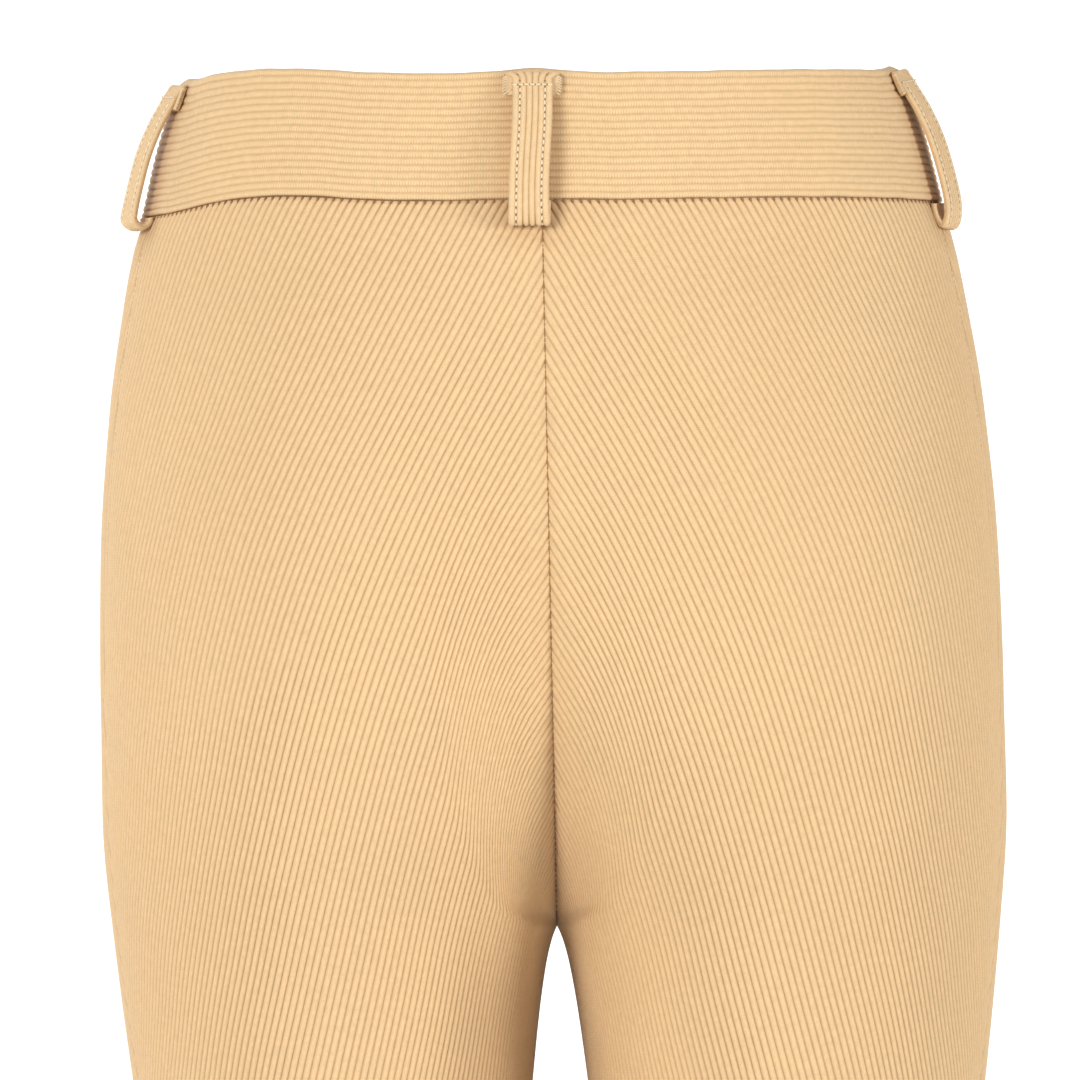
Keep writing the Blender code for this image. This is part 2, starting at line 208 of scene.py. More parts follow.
# %% Rings round the body
def slopes_of(values):
    """Slopes at the table's heights of a smooth line that never overshoots its points."""
    steps = np.diff(values) / np.diff(HEIGHTS)
    before, after = steps[:-1], steps[1:]
    same_way = before * after > 0
    mean = np.where(same_way, 2 * before * after / np.where(same_way, before + after, 1.0), 0.0)
    return np.concatenate([steps[:1], mean, steps[-1:]])


SLOPES = [slopes_of(SECTIONS[:, place]) for place in range(6)]


def value_at(column, height):
    """One column of the table at any heights."""
    row = np.clip(np.searchsorted(-HEIGHTS, -height, side="right") - 1, 0, len(HEIGHTS) - 2)
    span = HEIGHTS[row + 1] - HEIGHTS[row]
    t = (height - HEIGHTS[row]) / span
    first, last = SECTIONS[row, column], SECTIONS[row + 1, column]
    leaving, arriving = SLOPES[column][row] * span, SLOPES[column][row + 1] * span
    bend = (2 * first + leaving - 2 * last + arriving) * t**3
    return bend + (3 * last - 3 * first - 2 * leaving - arriving) * t**2 + leaving * t + first


def smooth_step(x, start, stop):
    t = np.clip((x - start) / (stop - start), 0.0, 1.0)
    return t * t * (3 - 2 * t)


def inner_line(height):
    depth = np.maximum(CROTCH - height, 0.0)
    return SOLID_GAP / 2 + LEG_SPREAD * (np.sqrt(depth + APEX_SOFTEN) - math.sqrt(APEX_SOFTEN))


def parting_at(height, split):
    reach, power = split
    above = np.maximum(0.0, 1 - (height - CROTCH) / reach) ** power
    axis = value_at(AXIS, height)
    below = axis / np.where(height > CROTCH, 1.0, axis - inner_line(height))
    return np.where(height > CROTCH, above, below)


def soft_parting(height, split):
    total = 0.0
    for step, weight in ((-2, 1), (-1, 2), (0, 3), (1, 2), (2, 1)):
        total = total + weight * parting_at(height + step * SPLIT_SOFTEN, split)
    return np.maximum(total / 9.0, LEAST_PARTING)


def ring_point(height, angle):
    """x and y on the cloth. Angle 0 is the outermost point, 90 degrees the back."""
    axis, middle = value_at(AXIS, height), value_at(MIDDLE, height)
    is_back = np.sin(angle) >= 0
    depth = np.where(is_back, value_at(BACK, height) - middle, middle - value_at(FRONT, height))
    y = middle + depth * np.sin(angle)
    parting = np.where(is_back, soft_parting(height, BACK_SPLIT), soft_parting(height, FRONT_SPLIT))
    width = axis / parting
    inset = (inner_line(height) - (axis - width)) * (1 - smooth_step(height, CROTCH, CROTCH + APEX_REACH))
    inner = axis + width * np.cos(angle) + inset * np.cos(angle) ** APEX_POWER
    outer = axis + (value_at(SIDE, height) - axis) * np.cos(angle)
    return np.where(np.cos(angle) >= 0, outer, inner), y


def dip_at(angle, power):
    return -FRONT_DIP * ((1 - np.sin(angle)) / 2) ** power


def surface_point(height, angle, out=0.0):
    """Points of the left half, moved level out of the cloth by out."""
    x, y = ring_point(height, angle)
    ahead = ring_point(height, angle - TURN_STEP)
    behind = ring_point(height, angle + TURN_STEP)
    along_x, along_y = ahead[0] - behind[0], ahead[1] - behind[1]
    length = np.hypot(along_x, along_y)
    z = height + smooth_step(height, DIP_FADES_AT, BAND_BOTTOM) * dip_at(angle, SEAM_DIP_POWER)
    return np.stack([x - out * along_y / length, y + out * along_x / length, z + 0 * x], axis=-1)


def band_point(height, angle, out):
    """A point of the band at any angle round the whole waist: 0 is the left side, 90 the back."""
    side = np.where(np.cos(angle) >= 0, 1.0, -1.0)
    folded = np.arcsin(np.clip(np.sin(angle), -1, 1))
    share = (height - BAND_BOTTOM) / (BAND_TOP - BAND_BOTTOM)
    point = surface_point(height, folded, out)
    low, high = dip_at(folded, SEAM_DIP_POWER), dip_at(folded, TOP_DIP_POWER)
    return np.stack([side * point[..., 0], point[..., 1], height + low + share * (high - low)], axis=-1)


LOOP_WIDTH = 0.0152
LOOP_ANGLES = {              # round the waist, at the band's top and bottom edge
    "belt_loop_back": (math.radians(89.0), math.radians(88.3)),
    "belt_loop_left": (SIDE_SEAM, SIDE_SEAM),
    "belt_loop_right": (math.pi - SIDE_SEAM, math.pi - SIDE_SEAM),
    "belt_loop_front_left": (math.radians(-66.0), math.radians(-66.0)),
    "belt_loop_front_right": (math.radians(-114.0), math.radians(-114.0)),
}


def loop_angle(height, at_top, at_bottom):
    return at_top + (at_bottom - at_top) * (BAND_TOP - height) / (BAND_TOP - BAND_BOTTOM)


def unit(vectors):
    return vectors / np.linalg.norm(vectors, axis=-1, keepdims=True)


def length_along(points):
    """How far each point of a line, or of several lines side by side, lies along it."""
    steps = np.linalg.norm(np.diff(points, axis=-2), axis=-1)
    return np.concatenate([np.zeros(steps.shape[:-1] + (1,)), np.cumsum(steps, axis=-1)], axis=-1)


def normal_at(height, angle):
    ahead, behind = surface_point(height, angle - TURN_STEP), surface_point(height, angle + TURN_STEP)
    above, below = surface_point(height + RISE_STEP, angle), surface_point(height - RISE_STEP, angle)
    return unit(np.cross(above - below, ahead - behind))


def angle_at_x(height, x, is_back):
    """The angle of the ring's back or front point with this x, found by halving."""
    sign = 1.0 if is_back else -1.0
    low, high = np.zeros_like(height), np.full_like(height, math.pi)
    for _ in range(40):
        middle = (low + high) / 2
        beyond = ring_point(height, sign * middle)[0] > x
        low, high = np.where(beyond, middle, low), np.where(beyond, high, middle)
    return sign * low


def seam_angle(height, is_back):
    """Where a panel ends at the middle seam or, below the crotch, at the inner leg seam."""
    at_leg = math.pi if is_back else -math.pi
    return np.where(height > CROTCH, angle_at_x(height, 0.0, is_back), at_leg)


print("across the hips:", round(2000 * float(value_at(SIDE, np.array(-0.21)))), "mm")

# %% [markdown]
# ## The run of the ribs
#
# Ribs are lines that never cross, so they are read from one number that grows by one from rib
# to rib: its phase. Across the panel the phase grows with the distance from a plumb line down
# the leg, and down the panel it drifts, which slants the ribs. The slant is steep at the waist,
# where the panel is cut on the bias, and nearly plumb on the thigh. The ribs also close up
# down the seat, which makes them fan, and crowd into the middle seam above the crotch, on the
# left more than on the right.

# %% The run of the ribs
PLUMB_X = 0.075              # the plumb line down the leg that distances are taken from
ROW_STEP = 0.001
ROWS = np.arange(-0.018, HEM - 0.004, -ROW_STEP)
S_STEP = 0.001
S_GRID = np.arange(-0.24, 0.24, S_STEP)

# depth below the origin: the ribs' slope on the plumb line, and how fast they close up
BACK_SLOPES = ((0.02, 0.57), (0.112, 0.56), (0.158, 0.445), (0.203, 0.347), (0.249, 0.286),
               (0.30, 0.25), (0.36, 0.245), (0.45, 0.20), (0.60, 0.11), (0.75, 0.05), (0.95, 0.04))
BACK_CLOSING = ((0.02, 0.3), (0.12, 0.3), (0.158, 0.9), (0.203, 1.6), (0.249, 0.9), (0.29, 0.1),
                (0.33, 0.0), (0.95, 0.0))
FRONT_SLOPES = ((0.02, 0.20), (0.20, 0.17), (0.36, 0.12), (0.60, 0.05), (0.95, 0.03))
FRONT_CLOSING = ((0.02, 0.3), (0.25, 0.4), (0.33, 0.0), (0.95, 0.0))
PAST_SIDE_SEAM = 0.12        # the form is measured this far beyond each panel's seams, in radians
PAST_INSEAM = 0.05
FULL_SHARE = 1.45            # ribs closer than the pitch at the waist divided by this are flatter
RIB_PITCH = 0.00331          # level distance between ribs at the waist
# depth below the origin: how many ribs more have run into the middle seam down to there
DRAWN_IN = ((0.02, 0.0), (0.10, 0.0), (0.13, 0.5), (0.158, 1.8), (0.18, 3.3), (0.203, 5.3),
            (0.225, 7.5), (0.249, 10.0), (0.27, 11.9), (0.285, 12.8), (0.30, 13.3), (0.33, 13.4),
            (0.40, 11.0), (0.50, 6.0), (0.60, 2.0), (0.70, 0.0), (0.95, 0.0))
DRAWN_ZONE = (0.010, 0.052)  # distance from the seam over which the drawn ribs crowd together


class RibRun:
    """Phases of the ribs on the back or the front panel, and the way back to the form."""

    def __init__(self, is_back, slopes, closing, pull):
        depths = -ROWS
        slope = np.interp(depths, *np.array(slopes).T)
        shut = np.interp(depths, *np.array(closing).T)
        pitch = RIB_PITCH * np.exp(-np.concatenate([[0.0], np.cumsum(shut[1:] * ROW_STEP)]))
        self.density = 1.0 / pitch
        drift = -slope * self.density * ROW_STEP
        self.offset = np.concatenate([[0.0], np.cumsum(drift[1:])])
        self.pull = pull * np.interp(depths, *np.array(DRAWN_IN).T)
        self.is_back = is_back
        self.sign = 1.0 if is_back else -1.0
        self._measure()

    def _measure(self):
        """Level distances from the plumb line, for each height and angle.

        The angles lie close together near the inner seam, where the front is almost flat and a
        small turn goes a long way, and one of them is the seam's own."""
        sign = self.sign
        first, last = SIDE_SEAM - sign * PAST_SIDE_SEAM, sign * (math.pi + PAST_INSEAM)
        seam = seam_angle(ROWS, self.is_back)
        to_seam = 1 - np.linspace(1.0, 0.0, 400) ** 3
        beyond = np.linspace(0.0, 1.0, 101)[1:]
        angles = np.concatenate([first + (seam[:, None] - first) * to_seam,
                                 seam[:, None] + (last - seam[:, None]) * beyond], axis=1)
        run = length_along(surface_point(ROWS[:, None] + 0 * angles, angles))
        plumb = angle_at_x(ROWS, PLUMB_X, self.is_back)
        self.angle_table = np.empty((len(ROWS), len(S_GRID)))
        self.inner, self.outer = np.empty(len(ROWS)), np.empty(len(ROWS))
        for r in range(len(ROWS)):
            along = angles[r] * sign
            at_plumb = np.interp(plumb[r] * sign, along, run[r])
            distance = at_plumb - run[r]
            self.inner[r] = np.interp(seam[r] * sign, along, distance)
            self.outer[r] = np.interp(SIDE_SEAM * sign, along, distance)
            self.angle_table[r] = np.interp(S_GRID, distance[::-1], angles[r][::-1])

    def at_row(self, table, height):
        return np.interp(-height, -ROWS, table)

    def edges(self, height):
        """Distances of the panel's inner seam and side seam."""
        return self.at_row(self.inner, height), self.at_row(self.outer, height)

    def angle(self, height, s):
        row = np.clip((ROWS[0] - height) / ROW_STEP, 0, len(ROWS) - 1.001)
        column = np.clip((s - S_GRID[0]) / S_STEP, 0, len(S_GRID) - 1.001)
        r, c = row.astype(int), column.astype(int)
        fr, fc = row - r, column - c
        table = self.angle_table
        upper = table[r, c] * (1 - fc) + table[r, c + 1] * fc
        lower = table[r + 1, c] * (1 - fc) + table[r + 1, c + 1] * fc
        return upper * (1 - fr) + lower * fr

    def phase(self, height, s):
        drawn = 1 - smooth_step(s - self.at_row(self.inner, height), *DRAWN_ZONE)
        plain = self.at_row(self.density, height) * s + self.at_row(self.offset, height)
        return plain - self.at_row(self.pull, height) * drawn

    def fullness(self, height, s):
        """1 where the ribs lie apart as at the waist, less where they crowd together."""
        near = self.phase(height, s + S_STEP / 2) - self.phase(height, s - S_STEP / 2)
        return np.clip(S_STEP / RIB_PITCH / near * FULL_SHARE, 0.0, 1.0)


back_run_left = RibRun(True, BACK_SLOPES, BACK_CLOSING, 1.0)
back_run_right = RibRun(True, BACK_SLOPES, BACK_CLOSING, 0.5)
front_run = RibRun(False, FRONT_SLOPES, FRONT_CLOSING, 0.0)
RUNS = {"back_left": back_run_left, "back_right": back_run_right,
        "front_left": front_run, "front_right": front_run}
print("rib pitch at the waist and on the thigh:",
      [round(1000 / float(front_run.at_row(front_run.density, h)), 2) for h in (-0.03, -0.35)], "mm")

# %% [markdown]
# ## Shader maths as Python
#
# A socket wrapped in a small class can be added and multiplied like a number, and each
# operation adds its Math node. That keeps the cloth's shader readable.

# %% Shader maths as Python
class Socket:
    """A number output of a node, with arithmetic that adds Math nodes."""

    def __init__(self, tree, output):
        self.tree = tree
        self.output = output

    def math(self, operation, other=None):
        return self.tree.add("ShaderNodeMath", {"operation": operation}, {0: self, 1: other})

    def __add__(self, other):
        return self.math("ADD", other)

    def __sub__(self, other):
        return self.math("SUBTRACT", other)

    def __mul__(self, other):
        return self.math("MULTIPLY", other)

    def __pow__(self, other):
        return self.math("POWER", other)

    def __rsub__(self, other):
        return self.tree.add("ShaderNodeMath", {"operation": "SUBTRACT"}, {0: other, 1: self})

    __radd__ = __add__


class Tree:
    """A material's nodes, added by type, settings and socket values."""

    def __init__(self, name):
        self.material = bpy.data.materials.new(name)
        self.material.use_nodes = True
        self.nodes = self.material.node_tree.nodes
        self.links = self.material.node_tree.links
        self.shader = self.nodes["Principled BSDF"]

    def add(self, kind, settings=None, inputs=None, output=0):
        node = self.nodes.new(kind)
        for name, value in (settings or {}).items():
            if name == "stops":
                self._set_stops(node, value)
            else:
                setattr(node, name, value)
        for name, value in (inputs or {}).items():
            self.feed(node, name, value)
        return Socket(self, node.outputs[output])

    def _set_stops(self, node, stops):
        ramp = node.color_ramp
        while len(ramp.elements) < len(stops):
            ramp.elements.new(1.0)
        for element, (place, colour) in zip(ramp.elements, stops):
            element.position = place
            element.color = colour

    def feed(self, node, name, value):
        if value is None:
            return
        if isinstance(value, Socket):
            self.links.new(value.output, node.inputs[name])
        else:
            node.inputs[name].default_value = value

    def mix(self, share, first, second, blend="MIX"):
        """Mixes two colours."""
        settings = {"data_type": "RGBA", "blend_type": blend}
        return self.add("ShaderNodeMix", settings, {0: share, 6: first, 7: second}, output=2)

    def noise(self, vector, scale, detail=2.0):
        inputs = {"Vector": vector, "Scale": scale, "Detail": detail}
        return self.add("ShaderNodeTexNoise", {}, inputs)

    def finish(self, colour, roughness, bump=None, strength=0.2, distance=0.0003, **constants):
        self.feed(self.shader, "Base Color", colour)
        self.feed(self.shader, "Roughness", roughness)
        if bump is not None:
            inputs = {"Height": bump, "Strength": strength, "Distance": distance}
            self.feed(self.shader, "Normal", self.add("ShaderNodeBump", {}, inputs))
        for name, value in constants.items():
            self.shader.inputs[name.replace("_", " ")].default_value = value
        return self.material


# %% [markdown]
# ## The cloth's finish
#
# The knit is a soft tan. Its ribs are lighter than the narrow furrows between them, which carry
# painted shade, and fine rows of stitches cross each rib about every 0.8 mm. The pieces carry a
# UV map that counts ribs one way and runs in metres the other way, so the knit follows every
# slanted rib. Broad, faint patches keep the colour from looking printed. A shade mark on the
# panels and the band paints soft shadow beside the loops, at the crotch and on the inner thigh,
# and the needle holes get painted shade too.

# %% The cloth's finish
TAN = (0.800, 0.560, 0.305, 1.0)
BAND_TAN = (0.810, 0.570, 0.310, 1.0)
LOOP_TAN = (0.815, 0.600, 0.350, 1.0)
# painted shade in the furrows between the ribs
FURROW_PAINTED_SHADE = (0.500, 0.315, 0.145, 1.0)
TAN_PATCH = (0.775, 0.530, 0.280, 1.0)
# painted shade, used by the shade marks, the needle holes and the furrows' ends under the band
PAINTED_SHADE_BROWN = (0.300, 0.165, 0.075, 1.0)      # deep in folds and behind loops
KNIT_ROW = 0.00080           # metres from one knit row to the next
WALES = 3.0                  # knit columns on a rib
FURROW_POWER = 3.0           # the higher, the narrower the furrows
SPOT = 0.14                  # half width of a needle hole, in ribs and in stitches
LADDER = 0.00100             # metres from one rung to the next in the waistband's furrows


def knit_material(name, tan, furrow_shade_share, rungs=0.0, spots=None):
    """Ribbed knit with painted shade in its furrows. spots=(first column, second column, pitch) paints shade
    into the needle holes on the way.
    """
    tree = Tree(name)
    uv = tree.add("ShaderNodeUVMap", {"uv_map": "ribs"})
    split = tree.add("ShaderNodeSeparateXYZ", {}, {0: uv})
    along = Socket(tree, split.output.node.outputs[1])
    shade = tree.add("ShaderNodeAttribute", {"attribute_name": "shade"}, output=2)
    flat = tree.add("ShaderNodeAttribute", {"attribute_name": "flat"}, output=2)
    place = tree.add("ShaderNodeTexCoord", output=3)
    from_crest = (split.math("FRACT") * 2.0 - 1.0).math("ABSOLUTE")
    depth = from_crest ** FURROW_POWER * (1.0 - flat)
    wale = ((split * WALES).math("FRACT") * 2.0 - 1.0).math("ABSOLUTE")
    rows = ((along * (1.0 / KNIT_ROW) + wale * 0.35) * (2 * math.pi)).math("SINE")
    fibres = tree.noise(place, 2600.0, 3.0)
    patches = tree.noise(place, 14.0, 3.0)
    mottle = tree.noise(place, 420.0, 2.0)
    colour = tree.mix(patches, tan, TAN_PATCH)
    # painted shade in the furrows, weaker where crowded ribs lie flat
    colour = tree.mix(depth * furrow_shade_share, colour, FURROW_PAINTED_SHADE)
    speck = (mottle - 0.5) * 0.20 + (fibres - 0.5) * 0.40 + rows * 0.03
    if rungs:
        rung = (along * (2 * math.pi / LADDER)).math("SINE")
        in_furrow = ((split - 0.70).math("FRACT") - 0.5).math("ABSOLUTE").math("GREATER_THAN", 0.28)
        speck = speck + rung * in_furrow * rungs
    grain = tree.add("ShaderNodeCombineColor", {}, {0: 1.0 + speck, 1: 1.0 + speck, 2: 1.0 + speck})
    colour = tree.mix(1.0, colour, grain, "MULTIPLY")
    # painted shade and shadow from each piece's shade mark, deepest in the furrows
    colour = tree.mix(shade * (0.55 + depth * 0.45), colour, PAINTED_SHADE_BROWN)
    # painted shade in the needle holes along the loops' rows of stitches
    if spots:
        first, second, pitch = spots
        on_line = [(split - column).math("ABSOLUTE").math("LESS_THAN", SPOT) for column in (first, second)]
        hole = ((along * (1.0 / pitch)).math("FRACT") - 0.5).math("ABSOLUTE").math("LESS_THAN", SPOT)
        colour = tree.mix((on_line[0] + on_line[1]) * hole * 0.8, colour, PAINTED_SHADE_BROWN)
    relief = rows * 0.5 + fibres * 0.6 + mottle * 0.5
    return tree.finish(colour, 0.86 - depth * 0.06, relief, 0.30, 0.00018,
                       Sheen_Weight=0.18, Sheen_Roughness=0.45, Specular_IOR_Level=0.25)


panel_cloth = knit_material("panel_cloth", TAN, 0.80)
band_cloth = knit_material("band_cloth", BAND_TAN, 0.52, rungs=0.13)


def thread_material(name, colour):
    """Twisted sewing thread: fine slanting turns and a soft sheen."""
    tree = Tree(name)
    place = tree.add("ShaderNodeTexCoord", output=3)
    turns = tree.add("ShaderNodeTexWave", {"bands_direction": "DIAGONAL"},
                     {"Vector": place, "Scale": 900.0, "Distortion": 1.0}, output=1)
    tint = tree.mix(turns, tuple(0.82 * part for part in colour[:3]) + (1.0,), colour)
    return tree.finish(tint, 0.6 - turns * 0.1, turns, 0.3, 0.0001, Sheen_Weight=0.2)


thread = thread_material("thread", (0.92, 0.76, 0.52, 1.0))
seam_thread = thread_material("seam_thread", (0.62, 0.36, 0.16, 1.0))
edge_thread = thread_material("edge_thread", (0.84, 0.63, 0.37, 1.0))
# painted shade for needle holes and for the furrows' ends under the band
painted_hollow_shade = flat_material("painted_hollow_shade", PAINTED_SHADE_BROWN[:3], 0.9)
print("materials:", [material.name for material in bpy.data.materials])

# %% [markdown]
# ## A mesh from grids
#
# Cloth that follows a rule is quickest to make from its points. This helper makes one piece
# from points and faces, gives it the UV map that the knit reads, shades it smooth except at its
# cut edges, and lets it ride with the garment.

# %% A mesh from grids
SHARP = math.radians(85)
RIDE_UP = 0.0036             # how far the band has ridden up over the left hip
RIDE_X = (0.102, 0.034)      # where across, and how wide
RIDE_DROP = 0.0024           # how far it has slipped beside the left loop
RIGHT_DROP = 0.0009          # and on the right half
SEAM_RIDE = 0.0022           # how far the waist seam stays up beside the left loop


def ridden_up(points):
    """The garment isn't worn quite level: behind the left hip its band has ridden up a little."""
    x, y, z = points.T
    rise = RIDE_UP * np.exp(-((x - RIDE_X[0]) / RIDE_X[1]) ** 2) - RIDE_DROP * smooth_step(x, 0.118, 0.143)
    rise = rise - RIGHT_DROP * smooth_step(-x, -0.01, 0.03)
    rise = rise + SEAM_RIDE * smooth_step(x, 0.112, 0.145) * (1 - smooth_step(z, -0.040, -0.010))
    rise = rise * smooth_step(y, -0.02, 0.03) * smooth_step(z, -0.11, -0.03)
    return points + np.stack([0 * x, 0 * y, rise], axis=1)


def add_piece(name, points, faces, material, uv=None, replaces=(), marks=None):
    """marks holds one number for each point under each name, for the shader to read."""
    mesh = bpy.data.meshes.new(name)
    mesh.from_pydata(ridden_up(points).tolist(), [], faces)
    for mark, values in (marks or {}).items():
        mesh.attributes.new(mark, "FLOAT", "POINT").data.foreach_set("value", values.astype(np.float32))
    if uv is not None:
        corner = np.empty(len(mesh.loops), np.int32)
        mesh.loops.foreach_get("vertex_index", corner)
        layer = mesh.uv_layers.new(name="ribs")
        layer.data.foreach_set("uv", uv[corner].astype(np.float32).ravel())
    mesh.shade_smooth()
    mesh.set_sharp_from_angle(angle=SHARP)
    mesh.materials.append(material)
    piece = bpy.data.objects.new(name, mesh)
    bpy.context.collection.objects.link(piece)
    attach(piece, "root")
    if replaces:
        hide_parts(*replaces)
    return piece


def mirrored(points, side):
    return points * np.array([side, 1.0, 1.0])


def swept_faces(steps, count):
    """Faces of an outline of count points swept along steps places, closed at both ends."""
    s, i = np.meshgrid(np.arange(steps - 1), np.arange(count), indexing="ij")
    here, after = (s * count + i).ravel(), (s * count + (i + 1) % count).ravel()
    faces = np.stack([here, here + count, after + count, after], axis=1).tolist()
    return faces + [list(range(count)), [(steps - 1) * count + c for c in range(count - 1, -1, -1)]]


# %% [markdown]
# ## Panels
#
# A rib is round on top and meets its neighbour in a narrow furrow. Instead of a fine square
# grid, the panel's grid lines follow the ribs: four or five points across each rib, and rows
# 10 mm apart along it, closer where the seat turns under. The grid is then cut exactly along the
# seams, cell by cell, so that each rib ends on the seam as the real ones do. The cloth dips
# into each seam, swells a little below the waistband, and doubles at the turned hem.

# %% The ribs' profile
RIB_HEIGHT = 0.00062
RIB_SINK = 0.00022           # furrows lie this far inside the solid's face
RIB_ROUND = 2.6
ACROSS_RIB = (0.0, 0.12, 0.34, 0.66, 0.88)
ACROSS_FRONT_RIB = (0.0, 0.2, 0.5, 0.8)    # coarser, which saves triangles
MEAN_SLOPE = 0.3             # of the ribs, by which the knit's rows are spaced
THIGH_SHADOW = {1: (0.50, 0.92), -1: (0.90, 1.0)}     # left and right, see panel_shade
SEAM_DIP_DEPTH = 0.0011
SEAM_DIP_REACH = 0.0016
HEM_DEPTH = 0.020
HEM_EXTRA = 0.0011
ROOT_SHADE = 0.60            # how dark: round the loops' roots, at the crotch, on the inner thigh
CROTCH_SHADE = 0.34
THIGH_SHADE = 0.58
ROOT_REACH = (0.008, 0.016)  # depth below the band over which the roots' shade ends
CROTCH_SPREAD = (0.014, 0.045)            # half width and half height of the crotch's shade
DRAPE = 0.0007               # height of the cloth's slow swells
HEM_ROWS = (0.0205, 0.0145)  # heights of the two rows of hem stitches above the leg end
INSIDE_MARGIN = 1e-4         # grid points nearer to a seam than this share of a rib are left out


def rib_profile(phase):
    """0 in the furrow, 1 on the crest."""
    return 1 - np.abs(2 * (phase - np.floor(phase)) - 1) ** RIB_ROUND


def slow_wave(a, b, seed):
    """A smooth, uneven surface between -1 and 1, from a few crossing waves."""
    total = 0.0
    for n in range(4):
        turn = seed * 1.7 + n * 2.399
        along, across = a * math.cos(turn), b * math.sin(turn)
        total = total + np.sin(along * (1 + 0.6 * n) + across * (1 + 0.6 * n) + 3 * turn)
    return total / 4


# %% Panels with every rib
def panel_rows():
    """Heights of the rows: closer at the waist seam, under the seat and at the hem."""
    heights = [-0.0243, -0.0262, -0.0285, -0.0315, -0.036]
    while heights[-1] > HEM + 0.036:
        here = heights[-1]
        step = 0.0025 if -0.318 < here < -0.276 else 0.0045 if -0.345 < here < -0.245 else 0.0096
        heights.append(here - step)
    near_hem = (0.0265, 0.0225, 0.0205, 0.0185, 0.0165, 0.0145, 0.0125, 0.009, 0.004, 0.0015, 0.0)
    return np.array(heights + [HEM + up for up in near_hem])


def cut_cells(inside, low_row, high_row, phases, rows):
    """Faces of a grid cut along its two seams, with the extra points on the cuts.

    inside says which grid points are on the panel. low_row and high_row are the seams' phases
    on each row. Returns (phase, height) of all points, which seam each lies on, and the faces."""
    count = inside.sum()
    index = np.full(inside.shape, -1)
    index[inside] = np.arange(count)
    row_of, column_of = np.nonzero(inside)
    spots = list(zip(phases[column_of], rows[row_of]))
    seam_of = [0] * count
    cuts = {}

    def cut(r0, c0, r1, c1):
        """The point where an edge of the grid crosses a seam."""
        key = (min(r0, r1), min(c0, c1), r0 == r1)
        if key in cuts:
            return cuts[key]
        ro, co = (r1, c1) if inside[r0, c0] else (r0, c0)
        low = phases[co] <= low_row[ro]
        line = low_row if low else high_row
        if r0 == r1:
            spot = (line[r0], rows[r0])
        else:
            t = (phases[c0] - line[r0]) / (line[r1] - line[r0])
            spot = (phases[c0], rows[r0] + min(max(t, 0.0), 1.0) * (rows[r1] - rows[r0]))
        spots.append(spot)
        seam_of.append(-1 if low else 1)
        cuts[key] = len(spots) - 1
        return cuts[key]

    whole = inside[:-1, :-1] & inside[:-1, 1:] & inside[1:, 1:] & inside[1:, :-1]
    r, c = np.nonzero(whole)
    faces = np.stack([index[r, c], index[r, c + 1], index[r + 1, c + 1], index[r + 1, c]], axis=1).tolist()
    some = (inside[:-1, :-1] | inside[:-1, 1:] | inside[1:, 1:] | inside[1:, :-1]) & ~whole
    for r, c in zip(*np.nonzero(some)):
        corners = [(r, c), (r, c + 1), (r + 1, c + 1), (r + 1, c)]
        face = []
        for here, after in zip(corners, corners[1:] + corners[:1]):
            if inside[here]:
                face.append(int(index[here]))
            if inside[here] != inside[after]:
                face.append(cut(*here, *after))
        if len(face) > 2:
            faces.append(face)
    return np.array(spots), np.array(seam_of), faces


def two_layers(faces, count):
    """The outer layer's faces, the same for the inner layer, and the walls that join their edges."""
    used = {}
    for face in faces:
        for here, after in zip(face, face[1:] + face[:1]):
            used[(here, after)] = True
    walls = [[after, here, here + count, after + count] for here, after in used if (after, here) not in used]
    return faces + [[corner + count for corner in face[::-1]] for face in faces] + walls


def beside_loop(distance):
    """How deep the painted shadow is at this distance from the middle of a loop that lies over it."""
    return np.exp(-(np.maximum(distance - LOOP_WIDTH / 2, 0.0) / 0.0055) ** 2)


def panel_shade(points, height, normals, shadow):
    """Soft shadow where cloth is tucked away: round the loops' roots, at the crotch and on the
    inner thigh. shadow says from where to where the thigh turns inwards enough."""
    shade = np.zeros(len(points))
    for at_top, at_bottom in LOOP_ANGLES.values():
        root = band_point(np.full(1, BAND_BOTTOM), np.full(1, at_bottom), 0.0)[0]
        distance = np.linalg.norm((points - root)[:, :2], axis=1)
        close = 1 - smooth_step(root[2] - points[:, 2], *ROOT_REACH)
        shade = np.maximum(shade, ROOT_SHADE * beside_loop(distance) * close)
    wide, high = CROTCH_SPREAD
    from_crotch = np.hypot(points[:, 0] / wide, (height - CROTCH - 0.010) / high)
    shade = np.maximum(shade, CROTCH_SHADE * np.exp(-from_crotch**2) * (points[:, 1] > 0))
    thigh = smooth_step(-normals[:, 0], *shadow) * smooth_step(CROTCH + 0.02 - height, 0.0, 0.06)
    return np.maximum(shade, THIGH_SHADE * thigh)


def panel_relief(run, height, s, phase):
    """How far the cloth stands out from the form."""
    inner, outer = run.edges(height)
    to_seam = np.minimum(np.maximum(s - inner, 0.0), np.maximum(outer - s, 0.0))
    dip = np.exp(-to_seam / SEAM_DIP_REACH)
    rise = RIB_HEIGHT * run.fullness(height, s) * rib_profile(phase) * (1 - 0.55 * dip) - RIB_SINK
    from_band = BAND_BOTTOM - height
    tuck = -(0.0006 + 0.0006 * (1 - rib_profile(phase))) * np.exp(-from_band / 0.0020)
    from_hem = height - HEM
    fold = 0.0004 * (1 - smooth_step(from_hem, HEM_DEPTH + 0.002, HEM_DEPTH + 0.005))
    for row in HEM_ROWS:
        fold = fold - 0.0006 * np.exp(-((from_hem - row) / 0.0011) ** 2)
    fold = fold - 0.0009 * np.exp(-from_hem / 0.0012)
    drape = DRAPE * slow_wave(height * 42, s * 55, 1.0 if run.is_back else 2.0)
    drape = drape * smooth_step(to_seam, 0.0, 0.02) * smooth_step(from_band, 0.0, 0.03)
    return rise - SEAM_DIP_DEPTH * dip + tuck + fold + drape


